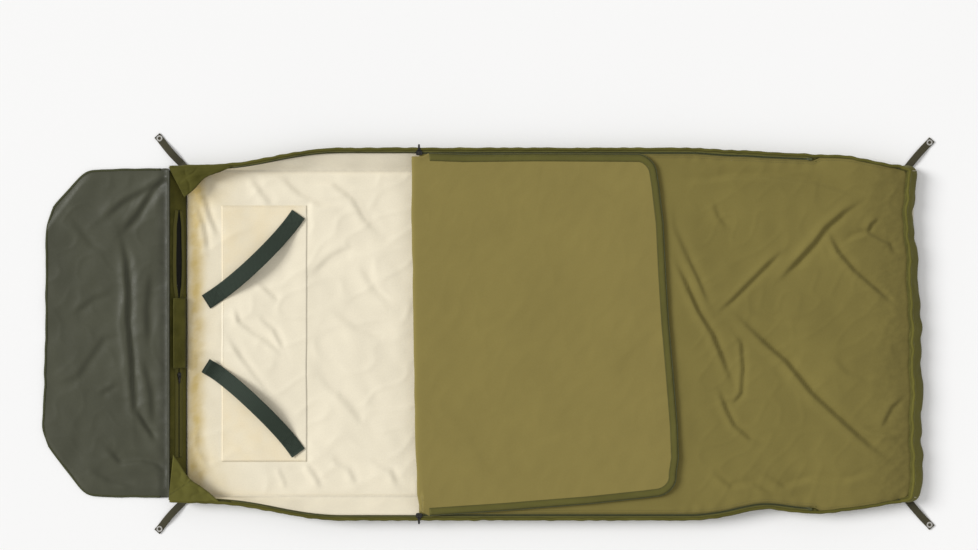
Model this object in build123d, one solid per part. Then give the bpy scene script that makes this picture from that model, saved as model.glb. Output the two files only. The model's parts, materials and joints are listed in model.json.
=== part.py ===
from build123d import *

import os
from math import cos, hypot, pi, radians, sin

# Box-shaped bedding bag of a field stretcher, laid open on the ground.
#
# The bag is a tray of groundsheet, lining and low walls. Its foot half is roofed by a fixed cover,
# the head half of that cover is unzipped and turned back over the foot, and a hood flap lies open
# in front of the head wall. Millimetres, +Z up, head towards -X, foot towards +X, left side +Y.
# The origin is the middle of the whole outline on the ground.

# Bag, in plan
BASE_HALF = 410.0  # half width of the groundsheet
HEAD_X = -757.0  # seam of the groundsheet and the head wall
FOOT_X = 1083.0  # seam of the groundsheet and the foot wall
FOLD_X = -172.0  # line on which the cover is turned back
FOOT_FOLD_X = 520.0  # line on which the foot of the bag folds over
FOLD_GAP = 1.5  # half the slit between the two halves of a folding panel
FOOT_RADIUS = 40.0  # corner of the foot wall at the ground
FLOOR_INSET = 4.0  # groundsheet and lining inside the foot wall
FOOT_TOP_RADIUS = 30.0  # corner of the foot wall's top edge
FOOT_TOP_X = 1060.0
FOOT_TOP_HALF = 418.0
FOOT_CORNER_STEPS = 5
WALL_TOP = [  # x and half width along the top edge of the walls
    (-757, 416),
    (-645, 424),
    (-470, 455),
    (-400, 463.5),
    (520, 463.5),
    (812, 448),
    (940, 436),
    (1030, 418),
]

# Layers, from the ground up
GROUND_T = 2.0
LINING_T = 2.0
FLOOR_Z = GROUND_T + LINING_T
WALL_Z = 36.8  # top edge of the walls
WALL_T = 2.0  # wall, measured level
WALL_FOOT_Z = 0.2
WALL_GAP = 0.5  # between the groundsheet and the foot of a wall
WALL_JOIN_GAP = 0.6  # between the foot wall and the side walls
HEAD_WALL_GAP = 0.3
SIDE_LINING_T = 1.7
SIDE_LINING_IN = 1.9  # lining's outer face inside the wall's inner face
SIDE_LINING_TOP_Z = 33.0
SIDE_LINING_HEAD_GAP = 6.0
COVER_Z = 36.0  # underside of the fixed cover
COVER_T = 2.0
COVER_RADIUS = 20.0  # its corners at the foot
COVER_END_GAP = 1.0
FLAP_PIVOT_Z = 43.5  # middle of the turned-back flap

# Zip
CHAIN_INSET = 11.5  # middle of the zip from the outer edge of the wall
CHAIN_Z = 37.5
CHAIN_GAP = 0.9  # half the gap between the two rows of coils
COIL_W = 2.4
COIL_T = 2.4
SLIVER = 0.1  # between tape and coil
TAPE_T = 1.0
TAPE_EDGE = 0.5  # wall's tape inside the wall's outer edge
COVER_TAPE_W = 8.6
ZIP_HEAD_X = -640.0
ZIP_END_X = 808.0  # end of the coils
STOP_L = 9.0
STOP_T = 2.0
STOP_GAP = 0.05  # stops over the coils

# Slider and puller, about the middle of the chain
SLIDER_L = 16.0
SLIDER_HALF = 5.4
SLIDER_RADIUS = 3.5
SLIDER_POST = (5.0, 0.5)  # half length and half width of the post between its plates
VENT_SLIDER_L = 10.4  # across the vent
VENT_SLIDER_POST = (0.4, 3.0)
VENT_POST_DOWN = 0.4
PLATE_IN = 1.5
PLATE_OUT = 2.8
PIN_OUT = 7.7  # pin from the middle of the chain
PIN_UP = 2.6
PIN_R = 0.9
EYE_R = 1.9
EYE_BORE_R = 0.95
EAR_ROOT = 3.5
EAR_IN = 3.2
EAR_OUT = 4.4
PULLER_L = 14.0
PULLER_W = 6.0
PULLER_TIP = 2.2  # half width at its free end
PULLER_T = 1.6
PULLER_ROOT = 1.0  # start of its tongue beyond the pin
PULLER_RADIUS = 1.5

# Turned-back flap: corners from the fold, left side first, and its rounding
FLAP_CORNERS = [(FOLD_X, 455), (418, 450), (476, -396), (FOLD_X, -455)]
FLAP_RADIUS = 45.0
FLAP_T = 2.0
FLAP_ROOT_GAP = 2.0  # flap beyond the fold
FLAP_COIL_T = 1.8
FLAP_COIL_IN = 0.3  # inside the flap's free edge
FLAP_TAPE_IN = 3.0
FLAP_TAPE_W = 18.0
FLAP_TAPE_T = 0.6

# Hood flap
HOOD_X = -800.0  # its near edge
HOOD_HALF = 414.0
HOOD_CHAMFER_X = 105.0
HOOD_CHAMFER_Y = 132.0
HOOD_RADIUS = 25.0
HOOD_CHAMFER_SHIFT = 0.45  # how far a chamfer's ends move when the outline is inset by 1
BINDING_W = 8.0
BINDING_T = 2.4
HOOD_T = 1.6

# Head wall, with a vent along its middle
HEAD_TOP_X = -794.6
HEAD_HALF = 409.0
VENT_HALF = 310.0
VENT_MID = 26.0  # up the slope of the wall
VENT_TAPE_W = 9.5
VENT_MESH_HALF = 2.5
VENT_TAPE_T = 0.8
VENT_MESH_T = 0.5
VENT_COIL_GAP = 0.7  # half the gap between the two rows
VENT_COIL_W = 1.6
VENT_COIL_T = 1.4
VENT_SLIDER_Y = -102.0
VENT_SLIDER_LIFT = 1.7
TAB_Y = (-86.0, 90.0)
TAB_U = (6.0, 44.0)
TAB_LIFT = 6.8  # the tab over the face of the wall
TAB_T = 1.2
TAB_HEM_GAP = 0.1
TAB_HEM = (3.0, 6.0)  # ends of its flat hem and of its rise, from its lower edge
TAB_OVER_IN = 4.0

# Corner webs, loops and eyelets
WEB_Z = 37.2
WEB_T = 1.2
WEB_POINTS = [(-796, 419), (-652, 421), (-760, 330), (-796, 330)]
WEB_EYELET = (-776.0, 402.0)
LOOP_W = 18.0
LOOP_T = 2.0
LOOP_Z = 0.8
HEAD_LOOP = (-771.5, 428.0, 131.0, 94.0)  # root x, root y, heading in degrees, length
FOOT_LOOP = (1054.7, 416.9, 48.7, 95.3)
EYELET_INSET = 10.0
EYELET_R = 4.0
EYELET_WALL = 1.0
FLANGE_R = 7.5
FLANGE_T = 0.8

# Mat straps and their panel
STRAP_W = 40.0
STRAP_T = 1.8
STRAP_HEAD = (-708.0, 80.0)
STRAP_FOOT = (-477.0, 300.0)
STRAP_LEAN = 16.0  # sideways bow of the slack strap
STRAP_RISE = 21.0
STRAP_SEWN = 0.1  # share of the strap sewn down at each end
STRAP_STEPS = 12
PANEL_X = (-670.0, -455.0)
PANEL_HALF = 322.0
PANEL_T = 0.8

BEYOND = 2000.0  # past every edge of the bag


def wall_top(x):
    """Half width of the bag at the top edge of its walls."""
    for (x0, w0), (x1, w1) in zip(WALL_TOP, WALL_TOP[1:]):
        if x <= x1:
            return w0 + (w1 - w0) * (x - x0) / (x1 - x0)
    return WALL_TOP[-1][1]


def stations(x0, x1):
    """Places along the wall between x0 and x1 where its outline bends, with both ends."""
    return [x0, *(x for x, _ in WALL_TOP if x0 < x < x1), x1]


def block(x, y, z):
    """Box between pairs of coordinates."""
    size = (x[1] - x[0], y[1] - y[0], z[1] - z[0])
    return Pos((x[0] + x[1]) / 2, (y[0] + y[1]) / 2, (z[0] + z[1]) / 2) * Box(*size)


def rounded(points, radius=0.0, corners=()):
    """Face with the given corners rounded."""
    face = make_face(Polyline(*points, close=True))
    if not corners:
        return face
    chosen = [v for v in face.vertices() if any(hypot(v.X - a, v.Y - b) < 0.01 for a, b in corners)]
    return fillet(chosen, radius)


def plate(face, z, thickness):
    """Level plate on a plan outline."""
    return Pos(0, 0, z) * extrude(face, thickness)


def ribbon(quads):
    """Solid through four-sided sections, with straight lines between them."""
    wires = [Wire.make_polygon([Vector(*p) for p in quad], close=True) for quad in quads]
    return Solid.make_loft(wires, True)


def panel(foot, top, step):
    """Four-sided section of a sloping panel from its foot to its top, with thickness step."""
    over = [tuple(a + b for a, b in zip(p, step)) for p in (foot, top)]
    return [foot, over[0], over[1], top]


def bar(x0, x1, inner, outer, z0, z1):
    """Level bar that follows the wall's outline, between two distances inside it."""
    quads = []
    for x in stations(x0, x1):
        near, far = wall_top(x) - inner, wall_top(x) - outer
        quads.append([(x, near, z0), (x, far, z0), (x, far, z1), (x, near, z1)])
    return ribbon(quads)


def other_side(shape):
    """The same piece on the right side of the bag."""
    return mirror(shape, about=Plane.XZ)


def both(shape):
    """The piece and its twin on the other side, as two separate solids."""
    return Compound(children=[Solid(s.wrapped) for s in [*shape.solids(), *other_side(shape).solids()]])


def several(*shapes):
    """Separate solids in one node."""
    return Compound(children=[Solid(s.wrapped) for shape in shapes for s in shape.solids()])


# ---- Tray ----------------------------------------------------------------------------------
def floor_outline(x0, x1):
    """Plan of the groundsheet between two lines, with round corners at the foot."""
    end = x1 - FLOOR_INSET if x1 == FOOT_X else x1
    points = [(x0, -BASE_HALF), (end, -BASE_HALF), (end, BASE_HALF), (x0, BASE_HALF)]
    return rounded(points, FOOT_RADIUS, points[1:3] if x1 == FOOT_X else ())


def side_wall(x0, x1):
    """Left wall, leaning out from the groundsheet to its top edge."""
    quads = []
    for x in stations(x0, x1):
        base_x = FOOT_X - FOOT_RADIUS if x == WALL_TOP[-1][0] else x
        top_x = HEAD_TOP_X if x == HEAD_X else x
        foot = (base_x, BASE_HALF + WALL_GAP, WALL_FOOT_Z)
        quads.append(panel(foot, (top_x, wall_top(x) - WALL_T, WALL_Z), (0, WALL_T, 0)))
    return ribbon(quads)


def side_lining(x0, x1):
    """Cream lining on the inner face of the left wall."""
    quads = []
    for x in stations(x0, x1):
        base = BASE_HALF + WALL_GAP
        slope = (wall_top(x) - WALL_T - base) / (WALL_Z - WALL_FOOT_Z)
        heights = (FLOOR_Z, SIDE_LINING_TOP_Z)
        low_y, high_y = (base + slope * (z - WALL_FOOT_Z) - SIDE_LINING_IN for z in heights)
        top_x = HEAD_TOP_X + SIDE_LINING_HEAD_GAP if x == HEAD_X else x
        quads.append(panel((x, low_y, FLOOR_Z), (top_x, high_y, SIDE_LINING_TOP_Z), (0, SIDE_LINING_T, 0)))
    return ribbon(quads)


def foot_wall():
    """Wall round the foot, leaning in from the groundsheet to the cover, with round corners."""
    quads = []
    for side in (1, -1):
        bends = [pi / 2 * (1 - n / FOOT_CORNER_STEPS) for n in range(FOOT_CORNER_STEPS + 1)]
        for a in bends if side > 0 else reversed(bends):
            out = (cos(a), side * sin(a), 0)
            base = (FOOT_X - FOOT_RADIUS, side * (BASE_HALF - FOOT_RADIUS), WALL_FOOT_Z)
            top = (FOOT_TOP_X - FOOT_TOP_RADIUS, side * (FOOT_TOP_HALF - FOOT_TOP_RADIUS), WALL_Z)
            foot_point = tuple(c + (FOOT_RADIUS + WALL_GAP) * o for c, o in zip(base, out))
            top_point = tuple(c + (FOOT_TOP_RADIUS - WALL_T) * o for c, o in zip(top, out))
            quads.append(panel(foot_point, top_point, tuple(WALL_T * o for o in out)))
    # It stops just short of the side walls.
    for end in (0, -1):
        quads[end] = [(x + WALL_JOIN_GAP, y, z) for x, y, z in quads[end]]
    return ribbon(quads)


def cover(x0, x1):
    """Fixed cover between two lines, inside the zip tapes."""
    inset = CHAIN_INSET + CHAIN_GAP + COIL_W + COVER_TAPE_W
    xs = stations(x0, min(x1, WALL_TOP[-1][0]))
    edge = [(x, wall_top(x) - inset) for x in xs]
    if x1 > xs[-1]:
        edge.append((x1, edge[-1][1]))
    points = edge + [(x, -y) for x, y in reversed(edge)]
    corners = [edge[-1], (edge[-1][0], -edge[-1][1])] if x1 > xs[-1] else ()
    return plate(rounded(points, COVER_RADIUS, corners), COVER_Z, COVER_T)


# ---- Zip -----------------------------------------------------------------------------------
def wall_tape(x0, x1):
    """Zip tape on top of the left wall."""
    near = CHAIN_INSET - CHAIN_GAP - COIL_W - SLIVER
    return bar(x0, x1, near, TAPE_EDGE, CHAIN_Z - TAPE_T / 2, CHAIN_Z + TAPE_T / 2)


def cover_tape(x0, x1):
    """Zip tape along the left edge of the fixed cover."""
    near = CHAIN_INSET + CHAIN_GAP + COIL_W + COVER_TAPE_W
    far = CHAIN_INSET + CHAIN_GAP + COIL_W + SLIVER
    return bar(x0, x1, near, far, CHAIN_Z - TAPE_T / 2, CHAIN_Z + TAPE_T / 2)


def coil(x0, x1, outer):
    """Row of coils on the wall's tape (outer) or on the cover's."""
    near = CHAIN_INSET - CHAIN_GAP if outer else CHAIN_INSET + CHAIN_GAP + COIL_W
    return bar(x0, x1, near, near - COIL_W, CHAIN_Z - COIL_T / 2, CHAIN_Z + COIL_T / 2)


def zip_stop():
    """Moulded stop on the end of the left chain."""
    x, y = ZIP_END_X - STOP_L / 2, wall_top(ZIP_END_X) - CHAIN_INSET
    half = CHAIN_GAP + COIL_W
    base = CHAIN_Z + COIL_T / 2 + STOP_GAP
    return block((x - STOP_L / 2, x + STOP_L / 2), (y - half, y + half), (base, base + STOP_T))


def slider(length, post, lower_plate):
    """Zip slider about the middle of its chain, with ears for a puller on +y and a post between the coils."""
    half = length / 2
    corners = [(half, -SLIDER_HALF), (half, SLIDER_HALF), (-half, SLIDER_HALF), (-half, -SLIDER_HALF)]
    outline = rounded(corners, SLIDER_RADIUS, corners)
    body = plate(outline, PLATE_IN, PLATE_OUT - PLATE_IN)
    if lower_plate:
        body += plate(outline, -PLATE_OUT, PLATE_OUT - PLATE_IN)
    post_foot = -PLATE_IN if lower_plate else -VENT_POST_DOWN
    body += block((-post[0], post[0]), (-post[1], post[1]), (post_foot, PLATE_IN))
    for side in (1, -1):
        ear = sorted((side * EAR_IN, side * EAR_OUT))
        body += block(ear, (EAR_ROOT, PIN_OUT + PIN_R), (PLATE_IN, PIN_UP + PIN_R))
    pin = Pos(0, PIN_OUT, PIN_UP) * Rot(0, 90, 0) * Cylinder(PIN_R, 2 * EAR_OUT)
    return body + pin


def puller():
    """Puller on the slider's pin, lying out along +y."""
    eye = Pos(0, PIN_OUT, PIN_UP) * Rot(0, 90, 0) * Cylinder(EYE_R, PULLER_W)
    half, start, tip = PULLER_W / 2, PIN_OUT + PULLER_ROOT, PIN_OUT + PULLER_L
    points = [(-half, start), (half, start), (PULLER_TIP, tip), (-PULLER_TIP, tip)]
    tongue = plate(rounded(points, PULLER_RADIUS, points[2:]), PIN_UP - PULLER_T / 2, PULLER_T)
    bore = Pos(0, PIN_OUT, PIN_UP) * Rot(0, 90, 0) * Cylinder(EYE_BORE_R, PULLER_W + 1)
    return eye + tongue - bore


def on_side_chain(shape):
    """Places a slider or puller on the left chain, at the fold."""
    return Pos(FOLD_X, wall_top(FOLD_X) - CHAIN_INSET, CHAIN_Z) * shape


# ---- Turned-back flap and hood flap --------------------------------------------------------
def flap_face():
    return rounded(FLAP_CORNERS, FLAP_RADIUS, FLAP_CORNERS[1:3])


def flap_ring(outer, inner):
    """Band of the flap between two distances inside its free edge."""
    clear = block((FOLD_X + FLAP_ROOT_GAP, BEYOND), (-BEYOND, BEYOND), (-BEYOND, BEYOND))
    longer = [(x - 2 * FLAP_TAPE_W if x == FOLD_X else x, y) for x, y in FLAP_CORNERS]
    whole = rounded(longer, FLAP_RADIUS, FLAP_CORNERS[1:3])
    ring = extrude(offset(whole, -outer), 1) - extrude(offset(whole, -inner), 1)
    return clear & ring


def flap_band(outer, inner, z, thickness):
    return Pos(0, 0, z) * scale(flap_ring(outer, inner), (1, 1, thickness))


def cover_flap():
    """Head half of the cover, unzipped and turned back."""
    half = block((FOLD_X + FLAP_ROOT_GAP, BEYOND), (-BEYOND, BEYOND), (0, BEYOND))
    return plate(flap_face(), FLAP_PIVOT_Z - FLAP_T / 2, FLAP_T) & half


def hood_points(inset):
    """Plan of the hood flap, inside its outline by inset."""
    far, half = hood_far() + inset, HOOD_HALF - inset
    shift = inset * (1 - HOOD_CHAMFER_SHIFT)
    chamfer_x, chamfer_y = far + HOOD_CHAMFER_X - shift, half - HOOD_CHAMFER_Y + shift
    left = [(HOOD_X, half), (chamfer_x, half), (far, chamfer_y)]
    return left + [(x, -y) for x, y in reversed(left)]


def hood_face(inset):
    points = hood_points(inset)
    return rounded(points, HOOD_RADIUS - inset, points[1:5])


def hood_far():
    """The hood reaches as far towards the head as the foot loops reach towards the foot."""
    x, _, heading, length = FOOT_LOOP
    a = radians(heading)
    return -(x + length * cos(a) + LOOP_W / 2 * sin(a))


# ---- Head wall and vent --------------------------------------------------------------------
HEAD_RUN = HEAD_TOP_X - (HEAD_X - HEAD_WALL_GAP)
HEAD_RISE = WALL_Z - WALL_FOOT_Z
HEAD_SLOPE = hypot(HEAD_RUN, HEAD_RISE)
UP = (HEAD_RUN / HEAD_SLOPE, HEAD_RISE / HEAD_SLOPE)  # up the slope, as x and z
OUT = (UP[1], -UP[0])  # out of its inner face, as x and z


def on_head(u, n):
    """Point u up the head wall's slope and n off its inner face, as x and z."""
    return HEAD_X - HEAD_WALL_GAP + u * UP[0] + n * OUT[0], WALL_FOOT_Z + u * UP[1] + n * OUT[1]


def head_prism(corners, y):
    """Piece on the head wall, from corners in slope and height off the face, between two y."""
    ends = []
    for side in y:
        ends.append([(x, side, z) for x, z in (on_head(*corner) for corner in corners)])
    return ribbon(ends)


def head_strip(u, n, y):
    """Flat strip on the head wall between pairs of slope, height off the face, and y."""
    return head_prism([(u[0], n[0]), (u[1], n[0]), (u[1], n[1]), (u[0], n[1])], y)


def storm_tab():
    """Tab sewn to the wall along its lower edge, standing off over the vent's chain."""
    low, high = TAB_U
    under, over = TAB_LIFT, TAB_LIFT + TAB_T
    hem = [(low, TAB_HEM_GAP), (low + TAB_HEM[0], TAB_HEM_GAP), (low + TAB_HEM[1], under)]
    return head_prism(hem + [(high, under), (high, over), (low + TAB_OVER_IN, over)], TAB_Y)


def head_wall():
    quads = []
    for y in (-HEAD_HALF, HEAD_HALF):
        foot = (HEAD_X - HEAD_WALL_GAP, y, WALL_FOOT_Z)
        quads.append(panel(foot, (HEAD_TOP_X, y, WALL_Z), (-WALL_T, 0, 0)))
    return ribbon(quads)


def on_vent(shape):
    """Places a slider or puller on the vent's chain: x up the wall, y along the chain, z off the wall."""
    x, z = on_head(VENT_MID, VENT_SLIDER_LIFT)
    place = Plane(origin=(x, VENT_SLIDER_Y, z), x_dir=(UP[0], 0, UP[1]), z_dir=(OUT[0], 0, OUT[1]))
    return place.location * shape


# ---- Loops, eyelets and straps ---------------------------------------------------------------
def eyelet(grip):
    """Two-part eyelet about +z, its lower flange on z = 0, clamping a layer grip thick."""
    height = grip + 2 * FLANGE_T
    ring = Cylinder(EYELET_R + EYELET_WALL, height)
    ring += Pos(0, 0, (height - FLANGE_T) / 2) * Cylinder(FLANGE_R, FLANGE_T)
    ring += Pos(0, 0, (FLANGE_T - height) / 2) * Cylinder(FLANGE_R, FLANGE_T)
    return Pos(0, 0, height / 2) * (ring - Cylinder(EYELET_R, height + 1))


def placed_loop(spec, shape):
    x, y, heading, _ = spec
    return Pos(x, y, 0) * Rot(0, 0, heading) * shape


def loop(spec):
    """Webbing loop, pressed flat, with a hole for its eyelet."""
    length = spec[3]
    hole = Pos(length - EYELET_INSET, 0, LOOP_Z + LOOP_T / 2) * Cylinder(EYELET_R + EYELET_WALL, LOOP_T + 1)
    return placed_loop(spec, block((0, length), (-LOOP_W / 2, LOOP_W / 2), (LOOP_Z, LOOP_Z + LOOP_T)) - hole)


def loop_eyelet(spec):
    return placed_loop(spec, Pos(spec[3] - EYELET_INSET, 0, LOOP_Z - FLANGE_T) * eyelet(LOOP_T))


def corner_web():
    """Triangle of fabric across the left head corner, at the top of the walls."""
    web = plate(rounded(WEB_POINTS), WEB_Z, WEB_T)
    return web - Pos(*WEB_EYELET, WEB_Z) * Cylinder(EYELET_R + EYELET_WALL, 10)


def strap():
    """Slack webbing strap across the left head corner of the mat, sewn down at both ends."""
    (ax, ay), (bx, by) = STRAP_HEAD, STRAP_FOOT
    length = hypot(bx - ax, by - ay)
    along = ((bx - ax) / length, (by - ay) / length)
    across = (along[1], -along[0])
    quads = []
    for n in range(-1, STRAP_STEPS + 2):
        t = min(max(n, 0), STRAP_STEPS) / STRAP_STEPS
        free = STRAP_SEWN + (1 - 2 * STRAP_SEWN) * t
        share = {-1: 0.0, STRAP_STEPS + 1: 1.0}.get(n, free)
        lean = 4 * STRAP_LEAN * share * (1 - share)
        z = FLOOR_Z + PANEL_T + STRAP_RISE * sin(pi * t) ** 1.5
        x = ax + along[0] * length * share + across[0] * lean
        y = ay + along[1] * length * share + across[1] * lean
        side = [(x + across[0] * s, y + across[1] * s) for s in (-STRAP_W / 2, STRAP_W / 2)]
        quads.append([(*side[0], z), (*side[1], z), (*side[1], z + STRAP_T), (*side[0], z + STRAP_T)])
    return ribbon(quads)


def parts():
    """Every node of the bag, by name."""
    main_end, foot_start = FOOT_FOLD_X - FOLD_GAP, FOOT_FOLD_X + FOLD_GAP
    cover_end = FOOT_TOP_X - WALL_T - COVER_END_GAP
    main, foot = (HEAD_X, main_end), (foot_start, WALL_TOP[-1][0])
    zip_main, zip_foot = (FOLD_X, main_end), (foot_start, ZIP_END_X)
    tape_z = FLAP_PIVOT_Z + FLAP_T / 2
    panel_face = rounded([(PANEL_X[i], s * PANEL_HALF) for i, s in ((0, 1), (0, -1), (1, -1), (1, 1))])
    hood_binding = plate(hood_face(0), 0, BINDING_T) - plate(hood_face(BINDING_W), 0, BINDING_T)
    vent = (-VENT_HALF, VENT_HALF)
    mesh_u = (VENT_MID - VENT_MESH_HALF, VENT_MID + VENT_MESH_HALF)
    made = {
        "groundsheet_main": plate(floor_outline(HEAD_X, main_end), 0, GROUND_T),
        "groundsheet_foot": plate(floor_outline(foot_start, FOOT_X), 0, GROUND_T),
        "lining_main": plate(floor_outline(HEAD_X, main_end), GROUND_T, LINING_T),
        "lining_foot": plate(floor_outline(foot_start, FOOT_X), GROUND_T, LINING_T),
        "foot_wall": foot_wall(),
        "foot_cover_main": cover(FOLD_X, main_end),
        "foot_cover_foot": cover(foot_start, cover_end),
        "cover_zip_tapes_foot": both(cover_tape(*foot)),
        "cover_zip_coils_foot": both(coil(*zip_foot, False)),
        "zip_end_stops": both(zip_stop()),
        "cover_zip_tapes_main": both(cover_tape(*zip_main)),
        "cover_zip_coils_main": both(coil(*zip_main, False)),
        "cover_flap": cover_flap(),
        "flap_zip_tape": flap_band(FLAP_TAPE_IN, FLAP_TAPE_IN + FLAP_TAPE_W, tape_z, FLAP_TAPE_T),
        "flap_zip_coil": flap_band(FLAP_COIL_IN, FLAP_COIL_IN + COIL_W, tape_z, FLAP_COIL_T),
        "hood_flap": plate(hood_face(BINDING_W), (BINDING_T - HOOD_T) / 2, HOOD_T),
        "hood_binding": hood_binding,
        "head_wall": head_wall(),
        "vent_mesh": head_strip(mesh_u, (0, VENT_MESH_T), vent),
        "storm_tab": storm_tab(),
        "mat_panel": plate(panel_face, FLOOR_Z, PANEL_T),
        "vent_slider": on_vent(slider(VENT_SLIDER_L, VENT_SLIDER_POST, False)),
        "vent_puller": on_vent(puller()),
    }
    vent_tapes, vent_coils = [], []
    for side in (1, -1):
        near = VENT_MID + side * VENT_MESH_HALF
        tape = sorted((near, near + side * VENT_TAPE_W))
        vent_tapes.append(head_strip(tape, (0, VENT_TAPE_T), vent))
        row = sorted(VENT_MID + side * (VENT_COIL_GAP + w) for w in (0, VENT_COIL_W))
        vent_coils.append(head_strip(row, (VENT_MESH_T, VENT_MESH_T + VENT_COIL_T), vent))
    made["vent_zip_tapes"] = several(*vent_tapes)
    made["vent_zip_coils"] = several(*vent_coils)
    sided = {
        "side_wall": side_wall(*main),
        "foot_side_wall": side_wall(*foot),
        "foot_side_wall_lining": side_lining(*foot),
        "foot_wall_zip_tape": wall_tape(*foot),
        "foot_wall_zip_coil": coil(*zip_foot, True),
        "side_wall_lining": side_lining(*main),
        "wall_zip_tape": wall_tape(ZIP_HEAD_X, main_end),
        "wall_zip_coil": coil(ZIP_HEAD_X, main_end, True),
        "zip_slider": on_side_chain(slider(SLIDER_L, SLIDER_POST, True)),
        "zip_puller": on_side_chain(puller()),
        "corner_web": corner_web(),
        "corner_eyelet": Pos(*WEB_EYELET, WEB_Z - FLANGE_T) * eyelet(WEB_T),
        "mat_strap": strap(),
        "head_loop": loop(HEAD_LOOP),
        "head_loop_eyelet": loop_eyelet(HEAD_LOOP),
        "foot_loop": loop(FOOT_LOOP),
        "foot_loop_eyelet": loop_eyelet(FOOT_LOOP),
    }
    for name, shape in sided.items():
        made[f"{name}_left"] = shape
        made[f"{name}_right"] = other_side(shape)
    return made


os.makedirs("parts", exist_ok=True)
for node, shape in parts().items():
    export_step(several(shape), f"parts/{node}.step")
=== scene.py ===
import json

import bpy
import numpy as np
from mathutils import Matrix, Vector


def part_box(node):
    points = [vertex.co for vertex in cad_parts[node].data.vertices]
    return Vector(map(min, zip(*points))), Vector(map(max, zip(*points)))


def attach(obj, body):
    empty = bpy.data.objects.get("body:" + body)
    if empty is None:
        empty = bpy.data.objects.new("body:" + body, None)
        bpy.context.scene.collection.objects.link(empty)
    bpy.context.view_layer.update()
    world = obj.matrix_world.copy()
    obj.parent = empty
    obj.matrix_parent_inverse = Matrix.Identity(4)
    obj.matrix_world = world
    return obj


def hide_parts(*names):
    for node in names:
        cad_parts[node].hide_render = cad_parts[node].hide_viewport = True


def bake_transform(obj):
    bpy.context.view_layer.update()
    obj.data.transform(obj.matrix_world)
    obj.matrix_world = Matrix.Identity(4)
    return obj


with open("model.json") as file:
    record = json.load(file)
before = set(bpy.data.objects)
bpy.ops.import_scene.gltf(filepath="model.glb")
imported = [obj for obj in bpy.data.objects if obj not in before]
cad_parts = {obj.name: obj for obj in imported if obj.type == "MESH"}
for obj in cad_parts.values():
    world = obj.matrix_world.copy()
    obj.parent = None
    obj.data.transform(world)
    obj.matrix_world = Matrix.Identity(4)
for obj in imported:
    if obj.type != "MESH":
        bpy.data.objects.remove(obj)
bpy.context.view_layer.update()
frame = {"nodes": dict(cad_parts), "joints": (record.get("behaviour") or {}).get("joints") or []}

# Lengths are in millimetres in the row frame until a mesh is made.
MM = 0.001


def low(node):
    return np.array(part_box(node)[0]) / MM


def high(node):
    return np.array(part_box(node)[1]) / MM


def pivot(joint):
    return next(np.array(j["pos_m"]) / MM for j in frame["joints"] if j["name"] == joint)


# ---- Places taken from the frame
HEAD_X = low("groundsheet_main")[0]
BASE_HALF = high("groundsheet_main")[1]
FLOOR_TOP = high("lining_main")[2]
PANEL_TOP = high("mat_panel")[2]
WALL_Z = high("side_wall_left")[2]
HEAD_TOP_X = low("side_wall_left")[0]
COVER_TOP = high("foot_cover_main")[2]
FOLD_X = low("foot_cover_main")[0]
FOOT_FOLD = pivot("foot_fold")
CHAIN_Z = (low("wall_zip_coil_left")[2] + high("wall_zip_coil_left")[2]) / 2
FLAP_TOP = high("cover_flap")[2]
HOOD_EDGE = high("hood_flap")[0]
# Centre of the round foot corner, at the top of the wall.
TOP_CENTRE = np.array([high("foot_side_wall_left")[0] - 13.0, 388.0])
FOLD_REACH = 20.0  # half the length of cloth that bends at the foot fold


def edge_line(*nodes):
    """x and half width along the outer edge of the given left-hand nodes, at their top."""
    points = np.concatenate([[v.co for v in frame["nodes"][n].data.vertices] for n in nodes]) / MM
    points = points[points[:, 2] > points[:, 2].max() - 1.5]
    xs = np.unique(points[:, 0].round(1))
    return xs, np.array([points[abs(points[:, 0] - x) < 0.2][:, 1].max() for x in xs])


RAIL = edge_line("side_wall_left", "foot_side_wall_left")


# Where the slack walls stand in or out of line beyond the sliders' travel: side, x, reach and amount.
SWAYS = ((-1, 690, 78, -17), (-1, 850, 34, 3), (1, 885, 46, 5), (1, 640, 40, 2))


def sway(x, side):
    return sum(np.where(side * s > 0, a, 0) * np.exp(-(((x - at) / reach) ** 2)) for s, at, reach, a in SWAYS)


def on_line(at, points):
    """The second value of a list of points, at the first values given."""
    return np.interp(at, *np.array(points, float).T)


def wall_top(x, side):
    """Half width of the bag on one side at the top of its wall, with the corners of its outline eased."""
    steps = np.linspace(-35, 35, 9)
    return np.mean([np.interp(x + s, *RAIL) for s in steps], axis=0) + sway(x, side)


# ---- Shapes of slack cloth
AWAY_FROM_KEY = np.array([1.0, 0.25])


def crease(x, y, path, width, height):
    """A fold along a path: a crest that drops steeply to a groove and eases out, fading at both ends."""
    path = np.array(path, float)
    best = np.full(x.shape, 1e9)
    side, share = np.zeros(x.shape), np.zeros(x.shape)
    runs = np.hypot(*np.diff(path, axis=0).T)
    normal = np.array([-1.0, 1.0]) * (path[-1] - path[0])[::-1]
    turn = np.sign(normal @ AWAY_FROM_KEY)
    start = 0.0
    for a, b, run in zip(path, path[1:], runs):
        along = (b - a) / run
        px, py = x - a[0], y - a[1]
        t = np.clip(px * along[0] + py * along[1], 0, run)
        dx, dy = px - along[0] * t, py - along[1] * t
        d = np.hypot(dx, dy)
        near = d < best
        best = np.where(near, d, best)
        side = np.where(near, np.sign(along[0] * dy - along[1] * dx) * turn, side)
        share = np.where(near, (start + t) / runs.sum(), share)
        start += run
    ends = np.clip(np.sin(np.pi * np.clip(share, 0.02, 0.98)) * 1.5, 0, 1)
    off = best * side / width
    crest = np.exp(-(((off + 0.5) / np.where(off < -0.5, 1.25, 0.5)) ** 2))
    groove = np.exp(-(((off - 0.5) / np.where(off < 0.5, 0.45, 1.1)) ** 2))
    return height * ends * (0.75 * crest - 0.85 * groove)


def creases(x, y, rows):
    return sum(crease(x, y, *row) for row in rows)


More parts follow.
